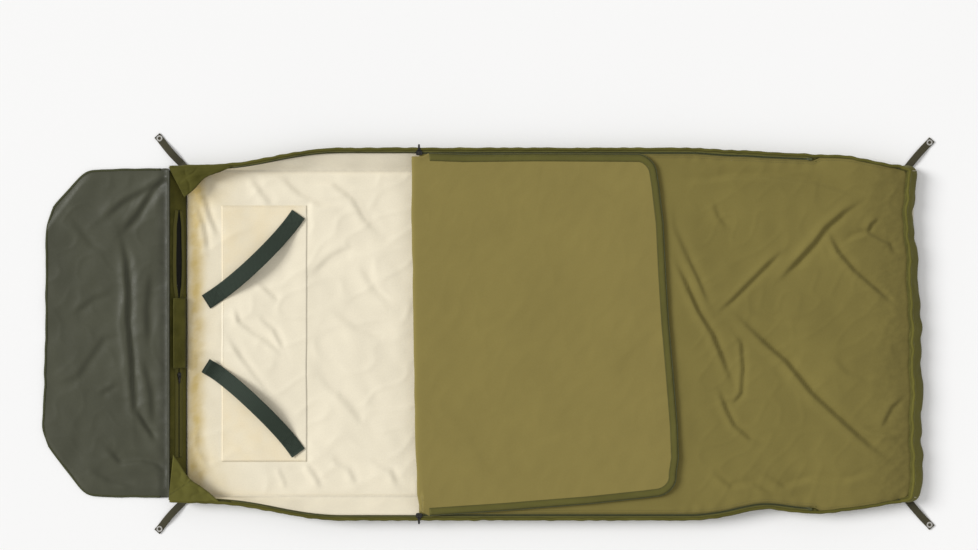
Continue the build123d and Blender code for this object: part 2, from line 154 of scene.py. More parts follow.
def rumple(x, y, length, seed, count=9):
    """Smooth slack in cloth, about -1 to 1, from waves in many directions that bend each other."""
    rng = np.random.default_rng(seed)
    total = np.zeros(np.broadcast(x, y).shape)
    for _ in range(count):
        angle, phase = rng.uniform(0, np.pi), rng.uniform(0, 2 * np.pi, 2)
        size = length * rng.uniform(0.6, 1.7)
        u = (x * np.cos(angle) + y * np.sin(angle)) / size
        v = (y * np.cos(angle) - x * np.sin(angle)) / size
        total += np.sin(2 * np.pi * u + phase[0] + 1.1 * np.sin(2.2 * v + phase[1]))
    return total / np.sqrt(count) / 1.4


def sharp(wave):
    """Turns smooth slack into narrow crests with flat cloth between them."""
    return np.clip(1 - abs(wave) * 2.2, 0, 1) ** 1.6


def fade(value, full):
    """0 at value 0, rising smoothly to 1 at full."""
    t = np.clip(value / full, 0, 1)
    return t * t * (3 - 2 * t)


# ---- Meshes
def add_mesh(name, points, faces, material, uv=None, seam=None, tint_and_shade=None):
    mesh = bpy.data.meshes.new(name)
    mesh.from_pydata((points * MM).tolist(), [], faces)
    mesh.materials.append(material)
    mesh.polygons.foreach_set("use_smooth", [True] * len(mesh.polygons))
    if uv is not None:
        corners = np.zeros(len(mesh.loops), np.int32)
        mesh.loops.foreach_get("vertex_index", corners)
        layer = mesh.uv_layers.new(name="cut")
        layer.data.foreach_set("uv", (uv[corners] * MM).astype(np.float32).ravel())
    for key, value in (("seam", seam), ("tint_and_shade", tint_and_shade)):
        marks = mesh.attributes.new(key, "FLOAT", "POINT")
        value = np.zeros(len(points)) if value is None else np.clip(value, 0, 1)
        marks.data.foreach_set("value", value.astype(np.float32).ravel())
    mesh.update()
    piece = bpy.data.objects.new(name, mesh)
    bpy.context.scene.collection.objects.link(piece)
    return piece


def net(name, points, material, thickness=1.2, cut=None, seam=None, tint_and_shade=None, flip=False, closed=False):
    """Cloth on a net of points, rows by columns, thickened away from its front."""
    rows, columns = points.shape[:2]
    index = np.arange(rows * columns).reshape(rows, columns)
    if closed:
        index = np.concatenate([index, index[:, :1]], axis=1)
    a, b, c, d = index[:-1, :-1], index[1:, :-1], index[1:, 1:], index[:-1, 1:]
    order = (a, d, c, b) if flip else (a, b, c, d)
    faces = np.stack([q.ravel() for q in order], axis=1).tolist()
    if cut is None:
        across = np.linalg.norm(np.diff(points, axis=1), axis=2)
        along = np.linalg.norm(np.diff(points, axis=0), axis=2)
        v = np.concatenate([np.zeros((rows, 1)), np.cumsum(across, axis=1)], axis=1)
        u = np.concatenate([np.zeros((1, columns)), np.cumsum(along, axis=0)])
        cut = np.stack([u, v], axis=2)
    piece = add_mesh(name, points.reshape(-1, 3), faces, material, cut.reshape(-1, 2), seam, tint_and_shade)
    if thickness:
        solid = piece.modifiers.new("cloth", "SOLIDIFY")
        solid.thickness, solid.offset = thickness * MM, -1
    return piece


def sweep(name, path, across, width, thickness, material):
    """Webbing or tape along a path, with rounded edges; across is its level direction at each point."""
    path, across = np.array(path, float), np.array(across, float)
    across = np.broadcast_to(across, path.shape)
    across = across / np.linalg.norm(across, axis=1)[:, None]
    tangent = np.gradient(path, axis=0)
    normal = np.cross(tangent, across)
    normal /= np.linalg.norm(normal, axis=1)[:, None]
    normal *= np.sign(normal[:, 2:3] + 1e-9)
    turn = np.linspace(0, 2 * np.pi, 25)[:-1]
    flat = np.sign(np.cos(turn)) * abs(np.cos(turn)) ** 0.35 * width / 2
    thick = np.sign(np.sin(turn)) * abs(np.sin(turn)) ** 0.6 * thickness / 2
    ring = path[:, None] + across[:, None] * flat[None, :, None] + normal[:, None] * thick[None, :, None]
    along = np.concatenate([[0], np.cumsum(np.linalg.norm(np.diff(path, axis=0), axis=1))])
    round_it = np.concatenate([[0], np.cumsum(np.hypot(np.diff(flat), np.diff(thick)))])
    cut = np.stack(np.broadcast_arrays(along[:, None], round_it[None]), axis=2)
    piece = net(name, ring, material, 0, cut, flip=True, closed=True)
    close_ends(piece, len(path), len(turn))
    return piece


def close_ends(piece, rows, columns):
    """Caps the two ends of a swept tube."""
    mesh = piece.data
    points = np.array([v.co for v in mesh.vertices]) / MM
    faces = [list(p.vertices) for p in mesh.polygons]
    faces.append(list(range(columns)))
    faces.append([(rows - 1) * columns + i for i in reversed(range(columns))])
    uv = np.zeros((len(points), 2))
    layer = mesh.uv_layers["cut"].data
    for loop in mesh.loops:
        uv[loop.vertex_index] = np.array(layer[loop.index].uv) / MM
    capped = add_mesh("capped", points, faces, mesh.materials[0], uv)
    piece.data, old = capped.data, mesh
    bpy.data.objects.remove(capped)
    bpy.data.meshes.remove(old)


# The eight faces of a bead on its six tips.
EIGHT = [(0, 2, 4), (2, 1, 4), (1, 3, 4), (3, 0, 4), (2, 0, 5), (1, 2, 5), (3, 1, 5), (0, 3, 5)]


def beads(name, centres, long, wide, tall, material):
    """Many small tapered pieces, such as stitches or zip teeth, each on three half axes."""
    centres = np.array(centres, float)
    axes = [np.broadcast_to(np.array(a, float), centres.shape) for a in (long, wide, tall)]
    points = np.stack([centres + s * a for a in axes for s in (1, -1)], axis=1)
    base = np.arange(len(centres))[:, None, None] * 6
    faces = (base + np.array(EIGHT)[None]).reshape(-1, 3).tolist()
    return add_mesh(name, points.reshape(-1, 3), faces, material)


def spaced(path, step):
    """Points about step apart along a path, with the direction of the path at each."""
    path = np.array(path, float)
    along = np.concatenate([[0], np.cumsum(np.linalg.norm(np.diff(path, axis=0), axis=1))])
    at = np.arange(step / 2, along[-1], step)
    points = np.stack([np.interp(at, along, path[:, k]) for k in range(3)], axis=1)
    direction = np.gradient(points, axis=0)
    return points, direction / np.linalg.norm(direction, axis=1)[:, None]


STITCH_STEP, STITCH_HALF, STITCH_WIDE, STITCH_TALL = 4.2, 1.6, 0.45, 0.35


def stitching(name, paths, material):
    """Rows of stitches along paths that lie on the cloth."""
    rows = [spaced(p, STITCH_STEP) for p in paths]
    points = np.concatenate([r[0] for r in rows])
    along = np.concatenate([r[1] for r in rows])
    side = np.cross(along, (0, 0, 1.0))
    side /= np.linalg.norm(side, axis=1)[:, None] + 1e-9
    tall = np.cross(side, along)
    return beads(name, points, along * STITCH_HALF, side * STITCH_WIDE, tall * STITCH_TALL, material)


TOOTH_STEP = 2.5


def teeth(name, paths, half_width, half_height, material):
    """Rows of moulded zip teeth along paths."""
    rows = [spaced(p, TOOTH_STEP) for p in paths]
    points = np.concatenate([r[0] for r in rows])
    along = np.concatenate([r[1] for r in rows])
    side = np.cross(along, (0, 0, 1.0))
    side /= np.linalg.norm(side, axis=1)[:, None]
    up = np.cross(side, along)
    return beads(name, points, side * half_width, along * TOOTH_STEP * 0.46, up * half_height, material)


# ---- Materials
class Nodes:
    """Short hand for building one material's node tree."""

    def __init__(self, name):
        self.material = bpy.data.materials.new(name)
        self.material.use_nodes = True
        self.tree = self.material.node_tree
        self.shader = self.tree.nodes["Principled BSDF"]

    def add(self, kind, links=None, **values):
        node = self.tree.nodes.new(kind)
        for key, value in values.items():
            setattr(node, key, value)
        for socket, value in (links or {}).items():
            self.put(node.inputs[socket], value)
        return node

    def put(self, socket, value):
        if isinstance(value, bpy.types.NodeSocket):
            self.tree.links.new(value, socket)
        else:
            socket.default_value = value

    def noise(self, where, scale, detail=3.0):
        node = self.add("ShaderNodeTexNoise", {"Vector": where, "Scale": scale, "Detail": detail})
        return node.outputs["Fac"]

    def wave(self, where, scale, direction):
        node = self.add("ShaderNodeTexWave", {"Vector": where, "Scale": scale}, bands_direction=direction)
        return node.outputs["Fac"]

    def span(self, value, low_out, high_out, low_in=0.0, high_in=1.0):
        links = {"Value": value, "From Min": low_in, "From Max": high_in}
        links |= {"To Min": low_out, "To Max": high_out}
        return self.add("ShaderNodeMapRange", links).outputs["Result"]

    def math(self, operation, a, b):
        return self.add("ShaderNodeMath", {0: a, 1: b}, operation=operation).outputs[0]

    def mix(self, share, a, b, blend="MIX"):
        node = self.add("ShaderNodeMix", data_type="RGBA", blend_type=blend)
        for socket, value in ((0, share), (6, a), (7, b)):
            self.put(node.inputs[socket], value)
        return node.outputs[2]

    def finish(self, colour, roughness, height, strength, distance, **sockets):
        self.put(self.shader.inputs["Base Color"], colour)
        self.put(self.shader.inputs["Roughness"], roughness)
        links = {"Height": height, "Strength": strength, "Distance": distance}
        bump = self.add("ShaderNodeBump", links)
        self.put(self.shader.inputs["Normal"], bump.outputs["Normal"])
        for name, value in sockets.items():
            self.shader.inputs[name.replace("_", " ")].default_value = value
        return self.material


def rgba(colour, factor=1.0):
    return (*(min(1.0, c * factor) for c in colour), 1.0)


WAVE_TO_MM = 20.0 / np.pi / 2  # a Wave texture's scale for one band each metre


def cloth(name, colour, weave=1.1, blotch=0.06, rough=(0.78, 0.92), crumple=0.5, seam_dark=0.55, tinted=None):
    """Woven fabric on the piece's own cut: weave, blotchy dyeing, small crumples, a second colour that is
    painted shade on the lining and walls, and darker seams, partly painted shade.
    """
    n = Nodes(name)
    cut = n.add("ShaderNodeUVMap", uv_map="cut").outputs["UV"]
    scale = 1000.0 / weave / WAVE_TO_MM / 2
    warp, weft = n.wave(cut, scale, "X"), n.wave(cut, scale, "Y")
    threads = n.math("MULTIPLY", warp, weft)
    broad = n.noise(cut, 7.0, 4.0)
    fine = n.noise(cut, 260.0, 3.0)
    # The second colour follows the piece's marks: the panel's own yellow and the webs' tone, and painted
    # shade on the lining and walls.
    tint_and_shade = n.add("ShaderNodeAttribute", attribute_name="tint_and_shade").outputs["Fac"]
    second_colour_share = n.math("MULTIPLY", tint_and_shade, n.span(n.noise(cut, 25.0, 4.0), 0.55, 1.0, 0.35, 0.65))
    dye_and_shade = n.mix(second_colour_share, rgba(colour), rgba(tinted or colour))
    shade = n.span(n.math("ADD", fine, threads), 0.93, 1.06, 0.3, 1.4)
    shade = n.math("MULTIPLY", shade, n.span(broad, 1 - blotch, 1 + blotch, 0.3, 0.7))
    # The seam marks darken the cloth at real seams. They also stand for painted shade where a piece lays them
    # by edges, under folds and next to walls.
    seam = n.add("ShaderNodeAttribute", attribute_name="seam").outputs["Fac"]
    patchy = n.math("MULTIPLY", seam, n.span(n.noise(cut, 60.0), 0.6, 1.0, 0.35, 0.65))
    shade = n.math("MULTIPLY", shade, n.span(patchy, 1.0, seam_dark))
    grey = n.add("ShaderNodeCombineColor", {0: shade, 1: shade, 2: shade}).outputs[0]
    colour = n.mix(1.0, dye_and_shade, grey, "MULTIPLY")
    crumples = n.math("MULTIPLY", n.noise(cut, 45.0, 5.0), crumple)
    height = n.math("ADD", n.math("MULTIPLY", threads, 0.25), crumples)
    roughness = n.span(n.noise(cut, 120.0), rough[0], rough[1], 0.3, 0.7)
    return n.finish(colour, roughness, height, 0.35, 0.0012, Sheen_Weight=0.06, Specular_IOR_Level=0.22)


def webbing(name, colour, rib=1.6):
    """Close woven webbing with cross ribs, two edge cords and rubbed crests."""
    n = Nodes(name)
    cut = n.add("ShaderNodeUVMap", uv_map="cut").outputs["UV"]
    ribs = n.wave(cut, 1000.0 / rib / WAVE_TO_MM / 2, "X")
    cords = n.wave(cut, 1000.0 / rib / WAVE_TO_MM / 1.3, "DIAGONAL")
    weave = n.math("MULTIPLY", ribs, cords)
    worn = n.span(n.math("MULTIPLY", weave, n.noise(cut, 90.0)), 0.0, 1.0, 0.15, 0.6)
    mottled = n.mix(worn, rgba(colour, 0.8), rgba(colour, 1.45))
    return n.finish(mottled, n.span(n.noise(cut, 200.0), 0.62, 0.85), weave, 0.7, 0.0008, Sheen_Weight=0.08)


def hard(name, colour, worn, metallic, rough):
    """Moulded or metal part: fine grain and rubbed patches."""
    n = Nodes(name)
    where = n.add("ShaderNodeTexCoord").outputs["Object"]
    patches = n.span(n.noise(where, 420.0, 5.0), 0.0, 1.0, 0.5, 0.72)
    mottled = n.mix(patches, rgba(colour), rgba(worn))
    roughness = n.span(n.noise(where, 900.0), rough - 0.1, rough + 0.12, 0.3, 0.7)
    return n.finish(mottled, roughness, n.noise(where, 1500.0), 0.25, 0.0002, Metallic=metallic)


OLIVE = (0.250, 0.202, 0.058)
FOOT_OLIVE = (0.202, 0.166, 0.044)
GREEN_OLIVE = (0.132, 0.120, 0.020)
CREAM = (0.885, 0.81, 0.635)
# Second colour of the lining: painted shade, with olive bounce light, laid next to the head wall.
SHADE_AND_BOUNCE_YELLOW = (0.66, 0.50, 0.19)
PANEL_YELLOW = (0.89, 0.775, 0.545)
WEB_OLIVE = (0.130, 0.122, 0.022)
# The first is the walls' second colour, painted shade laid near the head and low on the walls; the second is
# the webs' darker tone.
WALL_PAINTED_SHADE, WEB_SHADE = (0.050, 0.048, 0.004), (0.062, 0.058, 0.004)
MATT = (0.75, 0.9)  # range of roughness of the plain canvas

# After the colour: weave in mm, blotchy dyeing, roughness, crumples, darkness at the seam marks (partly
# painted shade) and second colour (painted shade on the lining and walls).
flap_cloth = cloth("flap_canvas", OLIVE, 0.9, 0.035, (0.8, 0.92), 0.35)
foot_cloth = cloth("foot_canvas", FOOT_OLIVE, 0.9, 0.05, (0.78, 0.9), 0.4)
wall_cloth = cloth("wall_canvas", GREEN_OLIVE, 0.9, 0.14, MATT, 0.6, 0.5, WALL_PAINTED_SHADE)
web_cloth = cloth("web_canvas", WEB_OLIVE, 0.9, 0.12, MATT, 0.6, 0.5, WEB_SHADE)
ground_cloth = cloth("ground_canvas", (0.085, 0.08, 0.045), 1.2, 0.12, (0.45, 0.6), 0.6)
coated = cloth("coated_cloth", (0.070, 0.072, 0.047), 0.7, 0.09, (0.34, 0.48), 0.3, 0.62)
cream = cloth("cream_lining", CREAM, 0.6, 0.03, (0.42, 0.6), 0.25, 0.66, SHADE_AND_BOUNCE_YELLOW)
panel_cream = cloth("panel_lining", CREAM, 0.8, 0.03, (0.46, 0.62), 0.3, 0.8, PANEL_YELLOW)
tape_cloth = cloth("zip_tape", (0.112, 0.103, 0.021), 1.4, 0.1, (0.7, 0.85), 0.3)
binding_cloth = cloth("binding_tape", (0.055, 0.060, 0.026), 1.3, 0.12, (0.7, 0.85), 0.3)
mesh_cloth = cloth("vent_mesh", (0.007, 0.007, 0.005), 2.0, 0.2, (0.8, 0.95), 0.8)
strap_web = webbing("strap_webbing", (0.014, 0.030, 0.015), 1.8)
loop_web = webbing("loop_webbing", (0.050, 0.044, 0.016), 1.5)
thread = hard("sewing_thread", (0.105, 0.098, 0.035), (0.16, 0.15, 0.06), 0.0, 0.75)
cream_thread = hard("cream_thread", (0.72, 0.62, 0.44), (0.8, 0.72, 0.55), 0.0, 0.75)
dark_thread = hard("dark_thread", (0.012, 0.02, 0.013), (0.03, 0.045, 0.03), 0.0, 0.7)
coil_plastic = hard("coil_plastic", (0.050, 0.056, 0.014), (0.085, 0.09, 0.035), 0.0, 0.45)
black_metal = hard("black_enamel", (0.010, 0.010, 0.010), (0.09, 0.085, 0.075), 0.35, 0.38)
eyelet_metal = hard("eyelet_metal", (0.72, 0.71, 0.68), (0.45, 0.42, 0.36), 1.0, 0.32)


# ---- Pieces baked in place, and the layout of nets
def across_foot(piece):
    """Bakes the piece's place into its mesh."""
    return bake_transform(piece)


def lengths(start, end, step, fine=2.5):
    """Places along x for the rows of a net, closer together where the foot folds."""
    coarse = np.arange(start, end, step)
    close = np.arange(FOOT_FOLD[0] - FOLD_REACH, FOOT_FOLD[0] + FOLD_REACH + fine, fine)
    coarse = coarse[(coarse < close[0] - fine) | (coarse > close[-1] + fine)]
    close = close[(close > start) & (close < end)]
    return np.unique(np.concatenate([coarse, close, [end]]))


def round_corner(u, v, centre, radius, side):
    """Pulls the square corner beyond centre in to a quarter circle."""
    a, b = (u - centre[0]) / radius, side * (v - centre[1]) / radius
    inside = (a > 0) & (b > 0)
    pull = np.where(inside, np.maximum(a, b) / np.maximum(np.hypot(a, b), 1e-9), 1.0)
    return centre[0] + a * pull * radius, centre[1] + side * b * pull * radius


def lay(z_of, x, y, lift=0.0):
    return np.stack([x, y, z_of(x, y) + lift], axis=-1)


# ---- Fixed cover of the foot
# Each fold: its path, half width and height.
FOOT_CREASES = [
    ([(607, 58), (693, -25), (743, -68), (807, -148), (887, -222), (947, -275), (1010, -325)], 12, 7.5),
    ([(452, 342), (463, 265), (500, 185), (523, 138), (557, 58)], 11, 3.6),
    ([(453, 205), (487, 138), (523, 58), (560, -2), (587, -68), (610, -128)], 10, 5.5),
    ([(570, 52), (607, 85), (660, 138), (700, 178), (740, 212)], 9, 4.6),
    ([(723, 132), (767, 178), (813, 228), (840, 265), (887, 305), (933, 332)], 11, 6.5),
    ([(847, 258), (873, 205), (913, 158), (967, 112), (1013, 72)], 10, 6.0),
    ([(887, 225), (913, 242), (947, 252), (1000, 225), (1020, 192)], 9, 4.5),
    ([(947, 252), (955, 275), (975, 290)], 8, 4.5),
    ([(610, 5), (630, -22), (635, -88), (630, -148), (613, -168), (587, -158)], 8, 3.6),
    ([(573, -135), (593, -188), (613, -228), (653, -262), (693, -272)], 9, 4.2),
    ([(480, 382), (553, 382), (600, 392), (700, 392), (807, 378), (900, 352), (980, 342)], 13, 4.0),
    ([(553, -342), (607, -382), (660, -375), (727, -408)], 12, 3.6),
    ([(673, -342), (740, -382), (807, -362), (887, -368), (980, -342)], 13, 3.6),
    ([(980, -235), (1007, -182), (1037, -155)], 9, 3.6),
    ([(933, -238), (980, -248), (1020, -255)], 8, 3.4),
    ([(560, 330), (575, 290), (600, 262)], 9, 2.2),
    ([(860, -60), (900, -100), (960, -120)], 14, 2.2),
    ([(640, 60), (720, 30), (820, 20)], 14, 1.8),
]
COVER_INSET, TUCKED_INSET = 14.4, 3.0  # edge of the cover inside the edge of the wall, at the zip and past it
ZIP_END = high("zip_end_stops")[0]
FOOT_RIM = [(-395, 1086), (-338, 1092), (-246, 1088), (-118, 1090), (25, 1086)]
FOOT_RIM += [(178, 1078), (229, 1071), (306, 1065), (395, 1076)]
SEAM_BACK = 27.0  # seam of the cover behind the rim of the foot
RIM_X, SEAM_FOLLOWS = 1083.0, 0.7  # middle of the rim, and how much of its bowing the seam shares
SLACK_FROM = 440.0  # the cover lies flat up to here, under the flap
COVER_END, COVER_HALF, COVER_ROUND = 1052.0, 400.0, 34.0  # the rectangle that is laid out as the cover


def cover_inset(x):
    return COVER_INSET + (TUCKED_INSET - COVER_INSET) * fade(x - ZIP_END, 30)


def foot_rim(y):
    """Outer edge of the foot, which bows in and out."""
    steps = np.linspace(-30, 30, 7)
    eased = np.mean([on_line(y + s, FOOT_RIM) for s in steps], axis=0)
    return eased + 2.0 * np.sin(y / 13.0 + 1.5 * np.sin(y / 47.0)) + 1.6 * np.sin(y / 29.0 + 1.0)


def foot_seam(y):
    return foot_rim(y) * SEAM_FOLLOWS + RIM_X * (1 - SEAM_FOLLOWS) - SEAM_BACK


def cover_z(x, y):
    """Top of the fixed cover: slack and creased at the foot, pressed flat under the turned-back flap."""
    edge = wall_top(x, y) - cover_inset(x) - abs(y)
    to_seam = foot_seam(y) - x
    border = fade(edge, 30) * fade(to_seam, 40)
    loose = fade(x - SLACK_FROM, 60)
    slack = 1.7 * rumple(x, y, 210, 3) + 0.5 * rumple(x, y, 66, 8)
    folds = creases(x, y, FOOT_CREASES) + 1.5 * sharp(rumple(x, y, 120, 21)) * fade(x - 930, 90)
    folds += 0.9 * sharp(rumple(x, y, 95, 23)) * fade(x - 480, 60)
    pucker = 0.9 * np.sin(x / 7.5 + 2 * np.sin(x / 41)) * (1 - fade(edge, 34)) * fade(edge, 6)
    sink = -4.6 * (1 - fade(to_seam, 9)) - 4.5 * (1 - fade(to_seam, 85))
    sink -= 0.9 * (1 - fade(edge, 12)) * fade(x - ZIP_END, 30)
    return COVER_TOP + np.minimum(border * loose * (slack + folds), 6.6) + pucker * loose + sink


def cover_plan(u, v):
    """From a rectangle, u along and v across from -1 to 1, to the plan of the cover."""
    y_flat = v * COVER_HALF
    for side in (1, -1):
        centre = (COVER_END - COVER_ROUND, side * (COVER_HALF - COVER_ROUND))
        u, y_flat = round_corner(u, y_flat, centre, COVER_ROUND, side)
    y = y_flat / COVER_HALF * (wall_top(u, y_flat) - cover_inset(u))
    share = fade(u - 850, 200)
    return u + share * (foot_seam(y) - COVER_END), y


def make_foot_cover():
    u = lengths(FOLD_X, COVER_END, 5.0)[:, None]
    v = np.linspace(-1, 1, 191)[None]
    x, y = cover_plan(*np.broadcast_arrays(u, v))
    edge = np.minimum(wall_top(x, y) - cover_inset(x) - abs(y), foot_seam(y) - x)
    # Painted shade: a dark line along the cover's edges, and a broad darkening over the last 180 mm before
    # the foot seam.
    seam = 0.55 * (1 - fade(edge, 9)) + 0.55 * (1 - fade(foot_seam(y) - x, 180))
    piece = net("foot_cover_cloth", lay(cover_z, x, y), foot_cloth, 1.3, seam=seam)
    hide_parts("foot_cover_main", "foot_cover_foot")
    return across_foot(piece)


# ---- Walls
TOP_ROUND = 30.0  # foot corner at the top of the wall
BASE_ROUND, BASE_FORWARD = 41.5, 13.0  # foot corner at its base, and how far past the top's centre it turns
BASE_OUT = 1.5  # base of the wall outside the groundsheet
WALL_ROWS = 12  # rows of the net up the wall, before its hem
SHELF_AT_ZIP, SHELF_AT_HEAD = 21.0, 11.5  # cloth under the zip, in from the edge


def half_way_round(side):
    """Base and top of the wall on one side, from the head corner to the middle of the foot."""
    xs = lengths(HEAD_X, TOP_CENTRE[0], 7.0)
    share = (xs - HEAD_X) / (TOP_CENTRE[0] - HEAD_X)
    lean = (1 - fade(xs - HEAD_X, 70)) * (HEAD_TOP_X - HEAD_X)
    top = np.stack([xs + lean, wall_top(xs, side)], axis=1)
    forward = fade(share - 0.9, 0.1) * BASE_FORWARD
    base = np.stack([xs + forward, np.full(len(xs), BASE_HALF + BASE_OUT)], axis=1)
    turn = np.linspace(np.pi / 2, 0, 12)[1:]
    spoke = np.stack([np.cos(turn), np.sin(turn)], axis=1)
    top_arc = TOP_CENTRE + TOP_ROUND * spoke
    base_centre = np.array([TOP_CENTRE[0] + BASE_FORWARD, BASE_HALF + BASE_OUT - BASE_ROUND])
    base_arc = base_centre + BASE_ROUND * spoke
    ys = np.arange(TOP_CENTRE[1] - 24, 0, -6.0)
    top_foot = np.stack([np.full(len(ys), TOP_CENTRE[0] + TOP_ROUND), ys], axis=1)
    base_foot = np.stack([np.full(len(ys), base_centre[0] + BASE_ROUND), ys], axis=1)
    return np.concatenate([base, base_arc, base_foot]), np.concatenate([top, top_arc, top_foot])


def follow_rim(base, top):
    """Moves the foot end of the wall on to its wavy rim."""
    at_foot = fade(base[:, 0] - (TOP_CENTRE[0] + 8), 30)
    base[:, 0] += at_foot * (foot_rim(base[:, 1]) - base[:, 0])
    top[:, 0] += fade(top[:, 0] - (TOP_CENTRE[0] + 8), 20) * (foot_seam(top[:, 1]) + 2.5 - top[:, 0])


# The rolled top edge of the wall: how far in from its edge, and how high over its top.
WALL_HEM = ((-0.9, 0.4), (-0.4, 1.5), (1.2, 2.0), (3.2, 1.6), (4.9, 0.6), (5.5, -1.2), (6.0, -2.4))


def make_outer_wall():
    halves = [half_way_round(side) for side in (1, -1)]
    mirror = np.array([1, -1])
    base, top = (np.concatenate([halves[0][k], (halves[1][k] * mirror)[::-1]]) for k in (0, 1))
    follow_rim(base, top)
    tangent = np.gradient(top, axis=0)
    out = np.stack([-tangent[:, 1], tangent[:, 0]], axis=1)
    out /= np.linalg.norm(out, axis=1)[:, None]
    run = np.concatenate([[0], np.cumsum(np.hypot(*np.diff(top, axis=0).T))])
    at_foot = fade(base[:, 0] - 1030, 40)
    rows = []
    for s in np.linspace(0, 1, WALL_ROWS):
        bulge = (2.5 + 5.0 * at_foot) * np.sin(np.pi * s**0.8)
        bulge += 1.6 * np.sin(np.pi * s) * rumple(run, run * 0 + 60 * s, 55, 5)
        bulge += (0.7 + 1.6 * at_foot) * s * rumple(run, run * 0, 32, 12) * (1 - fade(s - 0.8, 0.2) * at_foot)
        plan = base + (top - base) * s + out * bulge[:, None]
        rows.append(np.concatenate([plan, np.full((len(run), 1), 0.3 + (WALL_Z - 0.6) * s)], axis=1))
    wave = 0.9 * rumple(run, run * 0, 45, 17) + 0.5 * np.sin(run / 6.0)
    shelf = np.where(top[:, 0] > FOLD_X, SHELF_AT_ZIP, SHELF_AT_HEAD)
    for inward, up in WALL_HEM:
        plan = top - out * (inward - wave * (inward < 5))[:, None]
        rows.append(np.concatenate([plan, np.full((len(run), 1), WALL_Z + up)], axis=1))
    for part in (0.55, 1.0):
        plan = top - out * (shelf * part)[:, None]
        under = np.where(plan[:, 0] > ZIP_END, cover_z(plan[:, 0], plan[:, 1]) - 3.2, WALL_Z)
        rows.append(np.column_stack([plan, np.minimum(under, WALL_Z - 2.5)]))
    points = np.stack(rows, axis=1)
    seam = np.zeros(points.shape[:2])
    # The rows that turn down under the hem and the shelf under the zip are darkened as painted shade; the
    # base rows are darker at the seam to the groundsheet.
    seam[:, WALL_ROWS + 4 :], seam[:, :2] = 0.9, 0.5
    # Painted shade in the second colour: darker near the head end and low on the wall; the sides away from
    # the foot are darker as well.
    head_end = 1 - fade(points[..., 0] - HEAD_X, 110)
    low_part = 1 - fade(points[..., 2] - 4, 26)
    tint_and_shade = 0.75 * head_end + 0.55 * low_part * (1 - head_end) + 0.5 * (1 - at_foot[:, None]) * (1 - head_end)
    piece = net("outer_wall", points, wall_cloth, 1.2, seam=seam, tint_and_shade=tint_and_shade)
    nodes = [f"{n}_{s}" for n in ("side_wall", "foot_side_wall") for s in ("left", "right")]
    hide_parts(*nodes, "foot_wall")
    across_foot(piece)
    line = points[:, WALL_ROWS - 1] + np.concatenate([out, out[:, :1] * 0], axis=1) * 0.4 + (0, 0, -3.0)
    across_foot(stitching("wall_stitching", [line], thread))


GROUND_END, GROUND_ROUND = 1078.0, 40.0


def make_groundsheet():
    x = lengths(HEAD_X, GROUND_END, 14.0)
    v = np.linspace(-1, 1, 61)
    x, v = np.meshgrid(x, v, indexing="ij")
    y = v * BASE_HALF
    for side in (1, -1):
        centre = (GROUND_END - GROUND_ROUND, side * (BASE_HALF - GROUND_ROUND))
        x, y = round_corner(x, y, centre, GROUND_ROUND, side)
    x = x + fade(x - 950, 110) * (foot_rim(y) - 4 - GROUND_END)
    z = 1.5 + 0.25 * rumple(x, y, 130, 31)
    seam = 0.7 * (1 - fade(np.minimum(BASE_HALF - abs(y), GROUND_END - x), 12))
    piece = net("groundsheet_cloth", np.stack([x, y, z], axis=2), ground_cloth, 1.2, seam=seam)
    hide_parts("groundsheet_main", "groundsheet_foot")
    across_foot(piece)


# ---- Lining
LINING_CREASES = [
    ([(-600, 397), (-567, 350), (-540, 320)], 11, 3.2),
    ([(-527, 397), (-473, 350), (-420, 323), (-367, 317)], 12, 3.4),
    ([(-460, 383), (-393, 377), (-340, 337), (-313, 290), (-267, 243)], 13, 3.4),
    ([(-640, 70), (-627, 30), (-593, 3), (-553, -23), (-513, -57)], 9, 3.6),
    ([(-580, 43), (-540, 10), (-513, -43)], 8, 3.0),
    ([(-593, 137), (-567, 117), (-527, 83)], 8, 2.8),
    ([(-660, 3), (-620, -63), (-580, -117), (-540, -170)], 10, 3.2),
    ([(-720, 363), (-700, 290), (-677, 243)], 10, 3.6),
    ([(-735, 320), (-715, 270), (-705, 200)], 9, 3.0),
    ([(-447, 150), (-393, 197), (-340, 223)], 14, 2.4),
    ([(-460, -325), (-440, -350), (-420, -385)], 9, 2.8),
    ([(-395, -318), (-350, -340), (-330, -380)], 10, 2.8),
    ([(-300, -322), (-245, -345), (-225, -385)], 11, 2.4),
    ([(-530, -335), (-515, -360), (-505, -390)], 8, 2.6),
    ([(-725, -230), (-733, -277), (-700, -340)], 10, 3.2),
    ([(-400, 60), (-330, 10), (-260, -20)], 18, 2.2),
    ([(-430, -110), (-360, -170), (-300, -250)], 18, 2.4),
    ([(-330, 180), (-290, 110), (-240, 60)], 18, 2.0),
]
LINING_SINK = 10.5  # top edge of the lining inside the edge of the wall
LINING_END = 1070.0
CROSS_SEAM = 94  # seam across the floor, from its head edge


def lining_z(x, y):
    """Top of the floor lining, lying flatter at its seams, along the straps and under the cover."""
    border = fade(BASE_HALF - abs(y), 16) * fade(x - HEAD_X, 22)
    shown = 1 - 0.8 * fade(x - (FOLD_X - 15), 60)
    slack = 1.5 * rumple(x, y, 190, 41) + 0.55 * rumple(x, y, 75, 43) + 1.6
    small = 1.1 * sharp(rumple(x, y, 130, 47))
    folds = creases(x, y, LINING_CREASES)
    flat = strap_share(x, y)
    return FLOOR_TOP + 0.3 + np.clip(border * shown * (slack + small + folds), 0, 5.5) * (1 - 0.8 * flat)


def strap_share(x, y):
    """1 along the line of each strap, fading to 0 beside it and past its ends."""
    lo, hi = low("mat_strap_left") + (-8, -8, 0), high("mat_strap_left") + (8, 8, 0)
    y = abs(y)
    inside = np.minimum(np.minimum(x - lo[0], hi[0] - x), np.minimum(y - lo[1], hi[1] - y))
    along, across = (x - lo[0]) / (hi[0] - lo[0]), (y - lo[1]) / (hi[1] - lo[1])
    return fade(inside + 14, 14) * (1 - fade(abs(along - across) - 0.2, 0.25))


